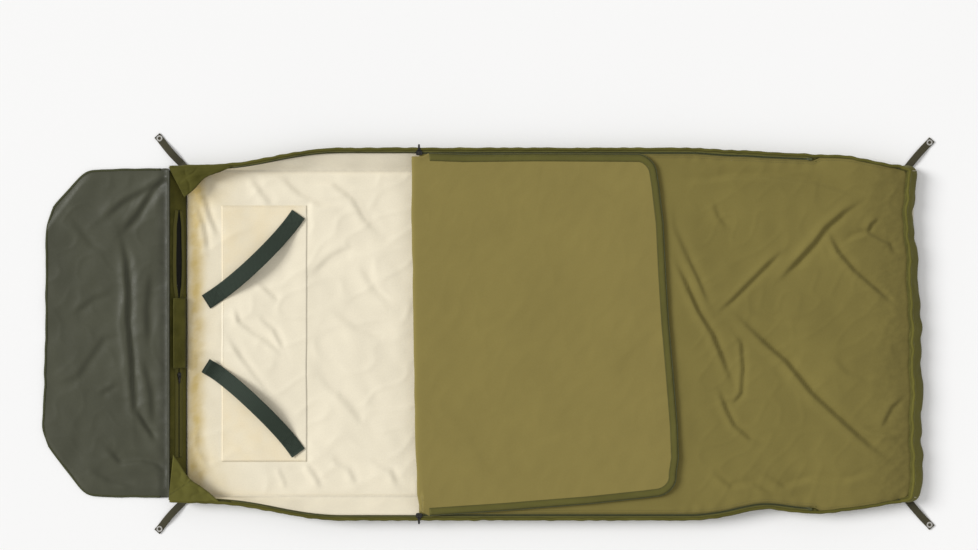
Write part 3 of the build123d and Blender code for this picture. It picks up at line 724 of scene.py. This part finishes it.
def make_lining():
    x = lengths(HEAD_X + 1, LINING_END, 5.5)[:, None]
    floor = np.linspace(-BASE_HALF + 1, BASE_HALF - 1, 145)
    climb = np.linspace(0, 1, 9)[1:]
    rows = lay(lining_z, *np.broadcast_arrays(x, floor[None]))
    sides = []
    for side in (-1, 1):
        top_y = (wall_top(x, side) - LINING_SINK) * side
        base_y = side * (BASE_HALF - 0.5)
        wave = 2.2 * rumple(x + 40 * climb, x * 0 + 900 * side, 75, 53) * np.sin(np.pi * climb)
        y = base_y + (top_y - base_y) * climb[None] - side * (0.8 + wave * 0.6) * np.sin(np.pi * climb)
        lean = (1 - fade(x - HEAD_X, 70)) * (HEAD_TOP_X - HEAD_X + 8) * climb
        z = FLOOR_TOP + 0.2 + (WALL_Z - 4.4 - FLOOR_TOP) * climb[None] ** 1.12 + 0.4 * wave
        sides.append(np.stack([x + lean, y, z], axis=2))
    points = np.concatenate([sides[0][:, ::-1], rows, sides[1]], axis=1)
    from_seam = abs(abs(points[..., 1]) - BASE_HALF)
    px, py = points[..., 0], points[..., 1]
    # The lining is darker all over where it climbs the walls: painted shade.
    beyond = 0.16 * (abs(py) > BASE_HALF)
    seam = np.maximum(0.62 * (1 - fade(from_seam, 3.5)), beyond)
    seam = np.maximum(seam, 0.45 * (1 - fade(abs(px - HEAD_X - CROSS_SEAM), 3.5)) * (abs(py) < 260))
    # Painted shade and olive bounce light from the head wall: a yellow-brown band along its foot, fading down
    # the floor and along the sides near the head.
    tint_and_shade = 0.75 * (1 - fade(abs(px - HEAD_X - 22), 34)) + 0.25 * (1 - fade(px - HEAD_X, 130))
    tint_and_shade += 0.3 * (1 - fade(px - HEAD_X - 30, 150)) * fade(abs(py) - 250, 120)
    piece = net("lining_cloth", points, cream, 0.9, seam=seam, tint_and_shade=tint_and_shade)
    nodes = ["side_wall_lining", "foot_side_wall_lining"]
    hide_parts("lining_main", "lining_foot", *[f"{n}_{s}" for n in nodes for s in ("left", "right")])
    across_foot(piece)
    paths = []
    for side in (-1, 1):
        xs = np.arange(HEAD_X + 8, FOLD_X + 40, 6.0)
        for off in (-2.0, 2.5):
            y = np.full(len(xs), side * (BASE_HALF - 4.0 + off))
            paths.append(lay(lining_z, xs, y, 0.15))
    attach(stitching("lining_stitching", paths, cream_thread), "bag")


def make_mat_panel():
    lo, hi = low("mat_panel"), high("mat_panel")
    x, y = np.meshgrid(np.linspace(lo[0], hi[0], 46), np.linspace(lo[1], hi[1], 120), indexing="ij")
    inside = np.minimum(np.minimum(x - lo[0], hi[0] - x), np.minimum(y - lo[1], hi[1] - y))
    share = (y * np.sign(y) - 60) / 250
    tint_and_shade = fade(share - (x - lo[0]) / (hi[0] - lo[0]) + 0.1, 0.35)
    points = np.stack([x + 0.8 * rumple(y, x * 0, 140, 63), y, lining_z(x, y) + 0.28 + 0.2 * tint_and_shade], axis=2)
    seam = 0.35 * (1 - fade(inside, 3)) * tint_and_shade
    piece = net("mat_panel_cloth", points, panel_cream, 0.4, seam=seam, tint_and_shade=tint_and_shade)
    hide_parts("mat_panel")
    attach(piece, "bag")
    ring = np.array([(hi[0], lo[1]), (lo[0], lo[1]), (lo[0], hi[1]), (hi[0], hi[1])])
    middle = (lo + hi)[:2] / 2
    ring = middle + (ring - middle) * (1 - 4.0 / ((hi - lo)[:2] / 2))
    paths = []
    for a, b in zip(ring, ring[1:]):
        plan = a + (b - a) * np.linspace(0, 1, 90)[:, None]
        paths.append(lay(lining_z, plan[:, 0], plan[:, 1], 0.5))
    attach(stitching("mat_panel_stitching", paths, cream_thread), "bag")


STRAP_WIDTH, STRAP_THICK, STRAP_BOW = 39.5, 1.8, 16.0
BOX_OUT = 15  # edge of the sewn box from the middle of the strap
BOXES = ((2, 9), (-10, -3))  # the points of the path at the two ends of each sewn box
ON_STRAP = (0, 0, 1.1)


def make_strap(side, name, curl):
    """Slack strap over the mat's corner: sewn at both ends, arched and bowed between them."""
    node = f"mat_strap_{name}"
    lo, hi = low(node), high(node)
    reach = 20 * np.sqrt(0.5)
    far = hi[1] - reach if side > 0 else lo[1] + reach
    near = lo[1] + reach if side > 0 else hi[1] - reach
    head = np.array([lo[0] + reach - 1, near])
    foot = np.array([hi[0] - reach + 1, far])
    along = (foot - head) / np.hypot(*(foot - head))
    lean = np.array([along[1], -along[0]]) * side
    t = np.linspace(0, 1, 64)
    arch = np.clip((t - 0.1) / 0.8, 0, 1)
    rise = (hi[2] - PANEL_TOP - 2.6) * np.sin(np.pi * arch) ** 1.4
    rise += curl * np.exp(-((t / 0.055) ** 2)) * (1 - np.exp(-((t / 0.012) ** 2)) * 0.3)
    plan = head + (foot - head) * t[:, None] + lean * (STRAP_BOW * 4 * t * (1 - t))[:, None]
    path = np.column_stack([plan, PANEL_TOP + 2.9 + rise])
    tangent = np.gradient(plan, axis=0)
    across = np.column_stack([-tangent[:, 1], tangent[:, 0], 0.06 * np.sin(3 * t + 1) * np.hypot(*tangent.T)])
    piece = sweep(f"mat_strap_web_{name}", path, across, STRAP_WIDTH, STRAP_THICK, strap_web)
    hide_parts(node)
    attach(piece, "bag")
    unit = across / np.linalg.norm(across, axis=1)[:, None]
    one, other = path - unit * BOX_OUT + ON_STRAP, path + unit * BOX_OUT + ON_STRAP
    rows = []
    for i, j in BOXES:
        edges = [(one[i], one[j]), (other[i], other[j]), (one[i], other[i]), (one[j], other[j])]
        diagonals = [(one[i], other[j]), (other[i], one[j])]
        rows += [np.array(ends) for ends in edges + diagonals]
    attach(stitching(f"mat_strap_stitching_{name}", rows, dark_thread), "bag")


# ---- Turned-back flap
FLAP_FREE = [(-396, 470), (-355, 476), (-269, 473), (-135, 463), (0, 452)]
FLAP_FREE += [(133, 444), (267, 438), (367, 427), (440, 416)]
FLAP_LEFT = [(-200, 443), (-163, 443), (-146, 452), (-60, 449), (120, 451), (300, 450), (480, 449)]
FLAP_RIGHT = [(-200, -443), (-163, -443), (-146, -453), (48, -440), (249, -424), (382, -410), (480, -398)]
FLAP_FOLD = [(-456, -166), (-402, -176), (-269, -181), (-68, -185), (133, -188), (335, -191), (455, -188)]
FLAP_CREASES = [
    ([(-150, 330), (-60, 300), (40, 310)], 30, 0.9),
    ([(-140, 90), (-20, 60), (120, 80), (260, 40)], 34, 0.8),
    ([(250, 380), (320, 330), (400, 310)], 22, 1.0),
    ([(60, -300), (180, -250), (330, -260)], 28, 0.9),
    ([(-120, -180), (-40, -260), (10, -360)], 26, 0.8),
    ([(300, -120), (360, -40), (420, 20)], 26, 0.8),
]
FLAP_LENGTH, FLAP_HALF, FLAP_ROUND = 620.0, 450.0, 46.0
ROLL_HALF = 442  # the fold is narrower than the flap, clear of the sliders
# The roll of the fold: back from the fold line, and share of the way up.
FLAP_ROLL = ((30, 0.02), (14, 0.03), (6, 0.08), (2, 0.22), (0, 0.5), (2, 0.78), (6, 0.93), (12, 0.99))
TAPE_SEAMS = (0.7, 0.3, 0, 0, 0, 0.2, 0.7)


def flap_plan(u, v):
    """From a rectangle, u from the fold and v across, to the plan of the flap."""
    for side in (1, -1):
        centre = (FLAP_LENGTH - FLAP_ROUND, side * (FLAP_HALF - FLAP_ROUND))
        u, v = round_corner(u, v, centre, FLAP_ROUND, side)
    share = u / FLAP_LENGTH
    x = FOLD_X + share * (on_line(v, FLAP_FREE) - FOLD_X)
    left, right = (on_line(x, line) for line in (FLAP_LEFT, FLAP_RIGHT))
    return x, right + (v + FLAP_HALF) / (2 * FLAP_HALF) * (left - right)


def flap_z(x, y):
    slack = 0.5 * rumple(x, y, 170, 71) + 0.3 * rumple(x, y, 62, 72) + 0.35 * sharp(rumple(x, y, 110, 73))
    return FLAP_TOP + 0.2 + np.clip(slack + creases(x, y, FLAP_CREASES), -0.5, 2.2) + 0.5


def flap_ring(step=5.0):
    """Path along the flap's free edge, in its own rectangle."""
    centre = FLAP_LENGTH - FLAP_ROUND
    side = FLAP_HALF - FLAP_ROUND
    straight = np.arange(26, centre, step)
    turn = np.linspace(np.pi / 2, 0, 19)
    square = FLAP_ROUND / np.maximum(np.cos(turn), np.sin(turn))
    arc = np.stack([centre + square * np.cos(turn), side + square * np.sin(turn)], axis=1)
    down = np.arange(side - step, 0, -step)
    half = np.concatenate(
        [np.stack([straight, np.full(len(straight), FLAP_HALF)], axis=1), arc]
        + [np.stack([np.full(len(down), FLAP_LENGTH), down], axis=1)]
    )
    return np.concatenate([half, (half * (1, -1))[::-1]])


def on_flap(inset, lift):
    """The same path, as points on top of the flap, at true distances from its edge."""
    ring = flap_ring()
    x, y = flap_plan(ring[:, 0], ring[:, 1])
    keep = np.concatenate([[True], np.hypot(np.diff(x), np.diff(y)) > 0.3])
    x, y = x[keep], y[keep]
    tangent = np.gradient(np.stack([x, y], axis=1), axis=0)
    inward = np.stack([tangent[:, 1], -tangent[:, 0]], axis=1)
    for _ in range(3):
        inward[1:-1] = (inward[:-2] + inward[1:-1] + inward[2:]) / 3
    inward /= np.linalg.norm(inward, axis=1)[:, None]
    px, py = x + inward[:, 0] * inset, y + inward[:, 1] * inset
    return np.stack([px, py, flap_z(px, py) + lift], axis=1), inward


def flap_moves(piece):
    """Bakes the piece's place into its mesh."""
    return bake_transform(piece)


def make_flap():
    v = np.linspace(-FLAP_HALF, FLAP_HALF, 160)
    u = np.arange(7, FLAP_LENGTH + 1, 5.5)
    u[-1] = FLAP_LENGTH
    x, y = flap_plan(*np.meshgrid(u, v, indexing="ij"))
    flat = lay(flap_z, x, y)
    fold = on_line(y[0], FLAP_FOLD) + 1.5 * rumple(y[0], y[0] * 0, 90, 75)
    half = y[0] / abs(y[0]).max() * ROLL_HALF
    top = flap_z(FOLD_X + 8, y[0])
    roll = []
    for back, share in FLAP_ROLL:
        z = COVER_TOP + 0.9 + (top - COVER_TOP - 0.9) * share
        side = half if share < 0.3 else half + (y[0] - half) * fade(np.array(share - 0.3), 0.4)
        roll.append(np.stack([fold + back, side, z], axis=1))
    points = np.concatenate([np.stack(roll), flat])
    edge = np.minimum(FLAP_LENGTH - u[:, None], FLAP_HALF - abs(v)[None])
    # Painted shade: the flap darkens within 22 mm of its edges.
    seam = np.concatenate([np.zeros((len(roll), len(v))), 0.4 * (1 - fade(edge, 22))])
    piece = net("cover_flap_cloth", points, flap_cloth, 1.2, seam=seam)
    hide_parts("cover_flap")
    flap_moves(piece)
    rows = [on_flap(i, 0.75)[0] for i in np.linspace(2.6, 20, 7)]
    seam = np.tile(TAPE_SEAMS, (len(rows[0]), 1))
    tape = net("flap_tape", np.stack(rows, axis=1), tape_cloth, 0.6, seam=seam, flip=True)
    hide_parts("flap_zip_tape")
    flap_moves(tape)
    coil = teeth("flap_teeth", [on_flap(1.5, 0.9)[0]], 1.3, 0.9, coil_plastic)
    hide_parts("flap_zip_coil")
    flap_moves(coil)
    path, inward = on_flap(1.5, 0.5)
    core = sweep("flap_coil_core", path, np.column_stack([inward, inward[:, 0] * 0]), 1.9, 1.1, coil_plastic)
    flap_moves(core)
    flap_moves(stitching("flap_stitching", [on_flap(i, 1.0)[0] for i in (7.0, 18.5)], thread))


# ---- Side zips
CHAIN_INSET = 11.5
OPEN_OFF, CLOSED_OFF = 2.0, 1.0  # rows of teeth from the middle of the chain, apart and meshed
TAPE_PAST = 12  # tape beyond the last tooth


def rail(x, inset, z, side):
    return np.stack([x, side * (np.interp(x, *RAIL) + sway(x, side) - inset), np.full(len(x), z)], axis=1)


def tooth_path(start, end, side, way, first):
    """Middle of one row of teeth: it swings in to the other row at the slider."""
    xs = np.arange(start + first, end, TOOTH_STEP)
    off = way * (CLOSED_OFF + (OPEN_OFF - CLOSED_OFF) * (1 - fade(xs - FOLD_X, 14)))
    return rail(xs, CHAIN_INSET + off, CHAIN_Z, side)


def make_zips():
    tape_end = ZIP_END + TAPE_PAST
    tapes = (("wall", low("wall_zip_tape_left")[0], -1, 4.5, 9.8), ("cover", FOLD_X, 1, 12.6, 18.0))
    for side, hand in ((1, "left"), (-1, "right")):
        for part, start, way, outer, inner in tapes:
            x = lengths(start, tape_end, 8.0)
            rows = [rail(x, i, CHAIN_Z - 0.85, side) for i in np.linspace(outer, inner, 5)]
            tape = net(f"{part}_tape_{hand}", np.stack(rows, axis=1), tape_cloth, 0.8, flip=side < 0)
            path = tooth_path(start, ZIP_END, side, way, 0.0 if way > 0 else TOOTH_STEP / 2)
            row = teeth(f"{part}_teeth_{hand}", [path], 1.35, 1.15, coil_plastic)
            core_path = path[::6] + (0, -side * way * 0.7, 0)
            core = sweep(f"{part}_coil_core_{hand}", core_path, (0, 1, 0), 1.4, 1.3, coil_plastic)
            if part == "wall":
                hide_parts(f"wall_zip_tape_{hand}", f"foot_wall_zip_tape_{hand}")
                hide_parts(f"wall_zip_coil_{hand}", f"foot_wall_zip_coil_{hand}")
            elif side > 0:
                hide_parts("cover_zip_tapes_main", "cover_zip_tapes_foot")
                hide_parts("cover_zip_coils_main", "cover_zip_coils_foot")
            for piece in (tape, row, core):
                across_foot(piece)
        xs = np.arange(FOLD_X + 30, 1000, 6.0)
        paths = []
        for inset in (3.6, 9.0):
            y = side * (wall_top(xs, side) - cover_inset(xs) - inset)
            paths.append(lay(cover_z, xs, y, 0.25))
        across_foot(stitching(f"zip_stitching_{hand}", paths, thread))
    y = np.arange(-380, 381, 6.0)
    x = foot_seam(y) - 7
    seam = stitching("foot_seam_stitching", [lay(cover_z, x, y, 0.3)], thread)
    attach(seam, "foot")


# ---- Hood
HOOD_CREASES = [
    ([(-926, 250), (-912, 182), (-906, 100), (-909, 31), (-902, -37), (-895, -140), (-888, -235)], 11, 6.0),
    ([(-926, 250), (-885, 298), (-844, 363), (-800, 405)], 11, 4.6),
    ([(-974, 284), (-919, 332), (-858, 366), (-810, 397)], 12, 4.0),
    ([(-888, -188), (-865, -229), (-837, -270)], 9, 4.2),
    ([(-964, -283), (-926, -324), (-871, -321), (-837, -331), (-806, -359)], 14, 5.5),
    ([(-1090, -126), (-1036, -109), (-967, -10), (-926, -3)], 13, 2.2),
    ([(-1042, 52), (-988, 93), (-940, 106)], 11, 2.2),
    ([(-981, -153), (-933, -126)], 9, 2.4),
    ([(-1008, -342), (-947, -372), (-885, -386)], 14, 3.4),
    ([(-850, 160), (-860, 60), (-855, -40)], 16, 3.2),
    ([(-870, -60), (-850, -150), (-845, -230)], 14, 3.0),
    ([(-1060, 300), (-1000, 220), (-960, 200)], 15, 1.8),
]
HOOD_SIDE = [(-1140, 268), (-1112, 300), (-1012, 411), (-960, 413), (-796, 416)]
HOOD_SIDE_RIGHT = [(-1140, 246), (-1124, 262), (-1012, 408), (-960, 411), (-796, 412)]
HOOD_START = HOOD_EDGE - 14  # where the hood meets the ground
# From the top of the wall down to the ground: step along x, and share of the way up.
HOOD_DROP = [(0.4, 1.0), (-1.5, 1.04), (-3.4, 0.98), (-4.5, 0.86), (-5.0, 0.66)]
HOOD_DROP += [(-5.4, 0.46), (-6.4, 0.28), (-9.0, 0.14), (-13, 0.05)]
# Section of the binding round the hood's edge: in from the edge, and up.
BINDING = [(3.0, -1.9), (-0.2, -1.8), (-1.0, -0.6), (-0.6, 0.5), (1.2, 0.75), (3.0, 0.7), (4.6, 0.45)]
HOOD_FAR = [(-270, -1120), (-120, -1116), (60, -1112), (190, -1113), (300, -1108)]


def hood_half(x, right):
    line = HOOD_SIDE_RIGHT if right else HOOD_SIDE
    return np.mean([on_line(x + s, line) for s in np.linspace(-16, 16, 9)], axis=0)


def hood_plan(u, v):
    """u from the wall's edge at 0 to the far edge at 1, v across from -1 to 1."""
    far = on_line(v * 300, HOOD_FAR) + 1.4 * rumple(v * 300, v * 0, 80, 83)
    far = far + 14 * fade(abs(v) - 0.86, 0.14) ** 2
    x = HOOD_START + u * (far - HOOD_START)
    half = np.where(v > 0, hood_half(x, False), hood_half(x, True))
    return x, v * (half + 0.8 * rumple(x, v * 900, 45, 84))


def hood_z(x, y):
    border = 0.25 + 0.75 * fade(np.minimum(hood_half(x, False), hood_half(x, True)) - abs(y), 24)
    slack = 3.2 + 1.4 * rumple(x, y, 150, 81) + 0.45 * rumple(x, y, 56, 82)
    slack += 0.8 * sharp(rumple(x, y, 105, 86)) + 3.2 * np.exp(-np.maximum(HOOD_START - x, 0) / 38)
    return 2.3 + np.clip(border * (slack + creases(x, y, HOOD_CREASES)), 0, 7.4)


def hood_moves(piece):
    """Bakes the piece's place into its mesh."""
    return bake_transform(piece)


def make_hood():
    v = np.linspace(-1, 1, 166)
    u = np.linspace(0, 1, 62)
    x, y = hood_plan(*np.meshgrid(u, v, indexing="ij"))
    flat = lay(hood_z, x, y)
    start = flat[0]
    wave = 1.2 * rumple(start[:, 1], start[:, 1] * 0, 70, 85)
    drop = []
    for dx, dz in HOOD_DROP:
        z = start[:, 2] + (WALL_Z + 1.6 - start[:, 2]) * dz
        drop.append(np.stack([HEAD_TOP_X + dx + wave * (1 - dz), start[:, 1] * (1 - 0.012 * dz), z], axis=1))
    points = np.concatenate([np.stack(drop), flat])
    from_edge = np.minimum(320 * (1 - u[:, None]), 400 * (1 - abs(v))[None])
    # Painted shade: the rows that drop over the head wall and the cloth just past them are darkened; the
    # outer edges by the binding are darker as well.
    seam = 0.26 * (1 - fade(from_edge, 14)) + 0.8 * (1 - fade(320 * u[:, None], 24))
    seam = np.concatenate([np.ones((len(drop), len(v))), seam])
    piece = net("hood_cloth", points, coated, 1.1, seam=seam, flip=True)
    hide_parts("hood_flap")
    hood_moves(piece)
    ring = np.concatenate([flat[2:-1, -1], flat[-1, ::-1], flat[-2:1:-1, 0]])
    keep = np.concatenate([[True], np.hypot(*np.diff(ring[:, :2], axis=0).T) > 0.5])
    ring = ring[keep]
    for _ in range(4):
        ring[1:-1] = (ring[:-2] + 2 * ring[1:-1] + ring[2:]) / 4
    tangent = np.gradient(ring, axis=0)
    inward = np.cross(tangent, (0, 0, 1.0))
    inward[:, 2] = 0
    inward /= np.linalg.norm(inward, axis=1)[:, None]
    inward *= np.sign(((np.array([-950.0, 0, 0]) - ring) * inward).sum(1))[:, None]
    rows = []
    for off, up in BINDING:
        rows.append(ring + inward * off + (0, 0, up))
    band = net("hood_binding_tape", np.stack(rows, axis=1), binding_cloth, 0.5)
    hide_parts("hood_binding")
    hood_moves(band)
    hood_moves(stitching("hood_stitching", [ring + inward * 3.6 + (0, 0, 0.9)], thread))


# ---- Head wall and vent
SLOPE = np.array([HEAD_TOP_X - HEAD_X, 0, WALL_Z])
UP = SLOPE / np.linalg.norm(SLOPE)
FACE = np.array([UP[2], 0, -UP[0]])
SLOPE_LENGTH = 52  # up the head wall
VENT_MID, VENT_HALF = 26.0, high("vent_mesh")[1]
VENT_Y = (low("vent_slider")[1] + high("vent_slider")[1]) / 2


def on_head(u, n, y):
    """Points u up the head wall and n off its inner face."""
    u, n, y = np.broadcast_arrays(u, n, y)
    base = np.array([HEAD_X, 0, 0.3])
    points = base + u[..., None] * UP + n[..., None] * FACE
    points[..., 1] = y
    return points


def vent_gap(y):
    """Half the opening between the rows of the vent: closed behind the slider, gaping ahead of it."""
    gape = 1.2 + 5.2 * fade(y - high("storm_tab")[1], 40)
    return 0.5 + gape * fade(y - VENT_Y - 6, 30) * fade(VENT_HALF + 8 - y, 60) * (1 + 0.12 * np.sin(y / 23))


def make_head_wall():
    y = np.linspace(-high("head_wall")[1], high("head_wall")[1], 190)[:, None]
    u = np.linspace(0, SLOPE_LENGTH, 16)[None]
    loose = np.sin(np.pi * u / SLOPE_LENGTH)
    n = loose * (1.3 * rumple(y, u * 3, 70, 91) + 1.4 * sharp(rumple(y, u * 2, 110, 92))) - 0.9
    n = n * (1 - fade(17 - abs(u - VENT_MID), 5)) - 0.35
    seam = 0.5 * (1 - fade(np.minimum(u, SLOPE_LENGTH - u) + y * 0, 5))
    # Painted shade in the second colour: over an even share, the head wall darkens up its slope and towards
    # positive y past 60 mm.
    tint_and_shade = 0.35 + 0.6 * fade(u - 30, 18) + 0.25 * fade(y - 60, 60)
    piece = net("head_wall_cloth", on_head(u, n, y), wall_cloth, 1.2, seam=seam, tint_and_shade=tint_and_shade)
    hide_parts("head_wall")
    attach(piece, "bag")
    y = np.linspace(-VENT_HALF, VENT_HALF, 150)
    rows = [on_head(VENT_MID + o, 0.15, y) for o in np.linspace(-8.5, 8.5, 5)]
    mesh = net("vent_mesh_cloth", np.stack(rows, axis=1), mesh_cloth, 0.3)
    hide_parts("vent_mesh")
    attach(mesh, "bag")
    gap = vent_gap(y)
    for side, end in ((1, "upper"), (-1, "lower")):
        offs = np.array([0.9, 2.5, 5, 8, 10.5])
        rows = [on_head(VENT_MID + side * (gap + o), 1.0 + 1.4 * np.exp(-o / 2.5), y) for o in offs]
        tape = net(f"vent_tape_{end}", np.stack(rows, axis=1), tape_cloth, 0.5, flip=side < 0)
        path = on_head(VENT_MID + side * (gap + 0.7), 1.9, y)
        row = teeth(f"vent_teeth_{end}", [path], 0.8, 0.7, coil_plastic)
        if side > 0:
            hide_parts("vent_zip_tapes")
            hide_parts("vent_zip_coils")
        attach(tape, "bag")
        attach(row, "bag")
        line = on_head(VENT_MID + side * (gap + 9), 1.3, y)
        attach(stitching(f"vent_stitching_{end}", [line], thread), "bag")


def make_storm_tab():
    lo, hi = low("storm_tab"), high("storm_tab")
    y = np.linspace(lo[1], hi[1], 60)[:, None]
    u = np.linspace(4, 46, 18)[None]
    end = 1 - fade(np.minimum(y - lo[1], hi[1] - y), 16)
    lift = 7.6 * fade(u - 5, 7) + 0.4 * rumple(y, u * 2, 40, 95) + 2.4 * end * np.sin(np.pi * (u - 4) / 46)
    points = on_head(u + 1.2 * end * np.sin(u / 5), lift + 0.3, y)
    seam = 0.6 * (1 - fade(np.minimum(y - lo[1], hi[1] - y) + 0 * u, 6))
    tint_and_shade = 0.5 + 0.4 * rumple(y, u, 60, 96)
    piece = net("storm_tab_cloth", points, web_cloth, 1.2, seam=seam, tint_and_shade=tint_and_shade)
    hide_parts("storm_tab")
    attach(piece, "bag")
    ys = np.linspace(lo[1] + 5, hi[1] - 5, 40)
    rows = [on_head(14.0, 8.2, ys), on_head(42.0, 8.2, ys)]
    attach(stitching("storm_tab_stitching", rows, thread), "bag")


# ---- Corners
# Outer, foot and inner corner of each web's plan.
WEB_CORNERS = {
    "left": ((-797, 417), (-640, 419), (-757, 340)),
    "right": ((-797, 414), (-660, 423), (-786, 304)),
}
WEB_SAG = 5.0


def make_corner_web(side, hand):
    """Slack triangle across a head corner, pulled level round its eyelet."""
    outer, foot, inner = (np.array(c, float) for c in WEB_CORNERS[hand])
    a, b = np.meshgrid(np.linspace(0, 1, 40), np.linspace(0, 1, 40), indexing="ij")
    reach = a * (1 - 0.13 * np.sin(np.pi * b) + 0.03 * np.sin(9 * b + side))
    plan = outer + reach[..., None] * ((1 - b)[..., None] * (foot - outer) + b[..., None] * (inner - outer))
    eyelet = abs(low(f"corner_eyelet_{hand}") + high(f"corner_eyelet_{hand}")) / 2
    away = np.hypot(plan[..., 0] + eyelet[0], plan[..., 1] - eyelet[1])
    loose = a * np.sin(np.pi * b) ** 0.6
    drop = -WEB_SAG * a**2 * np.sin(np.pi * b)
    drop -= 3.2 * loose * sharp(rumple(plan[..., 0], plan[..., 1], 52, 101 + side))
    drop += 2.6 * rumple(plan[..., 0], plan[..., 1], 70, 103 + side) * loose - 1.5 * loose
    z = WALL_Z + 1.7 + np.minimum(drop, 1.5) * fade(away - 6, 14)
    points = np.dstack([plan[..., 0], side * plan[..., 1], z])
    fold = 0.8 * (1 - fade(abs(a * (b - 0.5) - 0.06), 0.015)) * (side < 0)
    seam = np.maximum(0.6 * fade(a - 0.93, 0.07), fold)
    tint_and_shade = np.full(a.shape, 0.85 if side > 0 else 0.15)
    piece = net(f"corner_web_cloth_{hand}", points, web_cloth, 1.1, seam=seam, tint_and_shade=tint_and_shade, flip=side < 0)
    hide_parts(f"corner_web_{hand}")
    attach(piece, "bag")
    edge = points[-3, 1:-1] + (0, 0, 0.3)
    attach(stitching(f"corner_web_stitching_{hand}", [edge], thread), "bag")


LOOP_WIDTH, LOOP_THICK = 18.0, 2.0
LOOP_ROOT, LOOP_PAST = 17, 9.6  # root behind the joint, and end past the eyelet


def make_loop(end, hand):
    """Webbing loop from under the corner seam to its eyelet."""
    side = 1 if hand == "left" else -1
    joint = pivot(f"{end}_loop_{hand}_lift")
    eyelet = (low(f"{end}_loop_eyelet_{hand}") + high(f"{end}_loop_eyelet_{hand}")) / 2
    reach = eyelet - joint
    reach[2] = 0
    length = np.linalg.norm(reach)
    along = reach / length
    tip = length + LOOP_PAST
    t = np.concatenate([np.linspace(-LOOP_ROOT, length - 12, 30), np.linspace(length - 11, tip, 9)])
    bow = np.clip(t / length, 0, 0.86)
    height = eyelet[2] + 3.2 * np.sin(np.pi * bow / 0.86) * (bow < 0.86)
    path = joint + along * t[:, None]
    path[:, 2] = height + 3.0 * fade(-t, LOOP_ROOT)
    across = np.array([-along[1], along[0], 0.0])
    path += across * (1.8 * side * np.sin(np.pi * np.clip(t / length, 0, 1)))[:, None]
    piece = sweep(f"{end}_loop_web_{hand}", path, across, LOOP_WIDTH, LOOP_THICK, loop_web)
    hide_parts(f"{end}_loop_{hand}")
    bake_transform(piece)
    rows = []
    for at in (length - 20, length - 26):
        z = np.interp(at, t, path[:, 2]) + 1.2
        middle = joint + along * at
        rows.append(np.array([middle - across * 7, middle + across * 7]) * (1, 1, 0) + (0, 0, z))
    stitch = stitching(f"{end}_loop_stitching_{hand}", rows, thread)
    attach(stitch, f"{end}_loop_{hand}")


# ---- Hard parts that keep their CAD shape
def paint(material, *nodes):
    for name in nodes:
        mesh = frame["nodes"][name].data
        mesh.materials.clear()
        mesh.materials.append(material)


# ---- Stage
SKY, KEY, KEY_ANGLE = 0.56, 2.5, 0.42
KEY_FROM = Vector((-1.0, 0.25, 0.62))
FLOOR_SIZE = 60


def make_stage():
    bpy.ops.mesh.primitive_plane_add(size=FLOOR_SIZE, location=(0, 0, -0.0005))
    floor = bpy.context.object
    floor.name = "floor"
    n = Nodes("pale_floor")
    where = n.add("ShaderNodeTexCoord").outputs["Object"]
    tone = n.mix(n.noise(where, 1.2), (0.96, 0.96, 0.96, 1), (0.98, 0.98, 0.98, 1))
    floor.data.materials.append(n.finish(tone, 0.9, n.noise(where, 60.0), 0.02, 0.001))
    world = bpy.data.worlds.new("studio")
    world.use_nodes = True
    world.node_tree.nodes["Background"].inputs[0].default_value = (1.0, 0.995, 0.985, 1)
    world.node_tree.nodes["Background"].inputs[1].default_value = SKY
    bpy.context.scene.world = world
    light = bpy.data.lights.new("key", "SUN")
    light.energy, light.angle = KEY, KEY_ANGLE
    lamp = bpy.data.objects.new("key", light)
    lamp.rotation_mode = "QUATERNION"
    lamp.rotation_quaternion = (-KEY_FROM).to_track_quat("-Z", "Y")
    bpy.context.scene.collection.objects.link(lamp)
    bpy.context.scene.view_settings.view_transform = "Standard"


VIEW_WIDTH = 2.445  # metres of ground across the picture
VIEW_CENTRE = (0.0025, 0.1475)
VIEW_HEIGHT = 4.2


def make_camera():
    data = bpy.data.cameras.new("camera")
    data.lens = data.sensor_width * (VIEW_HEIGHT - 0.03) / VIEW_WIDTH
    camera = bpy.data.objects.new("camera", data)
    camera.location = (*VIEW_CENTRE, VIEW_HEIGHT)
    bpy.context.scene.collection.objects.link(camera)
    bpy.context.scene.camera = camera


make_stage()
make_camera()
make_groundsheet()
make_lining()
make_mat_panel()
make_outer_wall()
make_foot_cover()
make_flap()
make_zips()
make_hood()
make_head_wall()
make_storm_tab()
make_strap(1, "left", curl=0.0)
make_strap(-1, "right", curl=9.0)
make_corner_web(1, "left")
make_corner_web(-1, "right")
for hand in ("left", "right"):
    for end in ("head", "foot"):
        make_loop(end, hand)
    paint(black_metal, f"zip_slider_{hand}", f"zip_puller_{hand}")
    paint(eyelet_metal, f"corner_eyelet_{hand}", f"head_loop_eyelet_{hand}", f"foot_loop_eyelet_{hand}")
paint(black_metal, "vent_slider", "vent_puller")
paint(coil_plastic, "zip_end_stops")
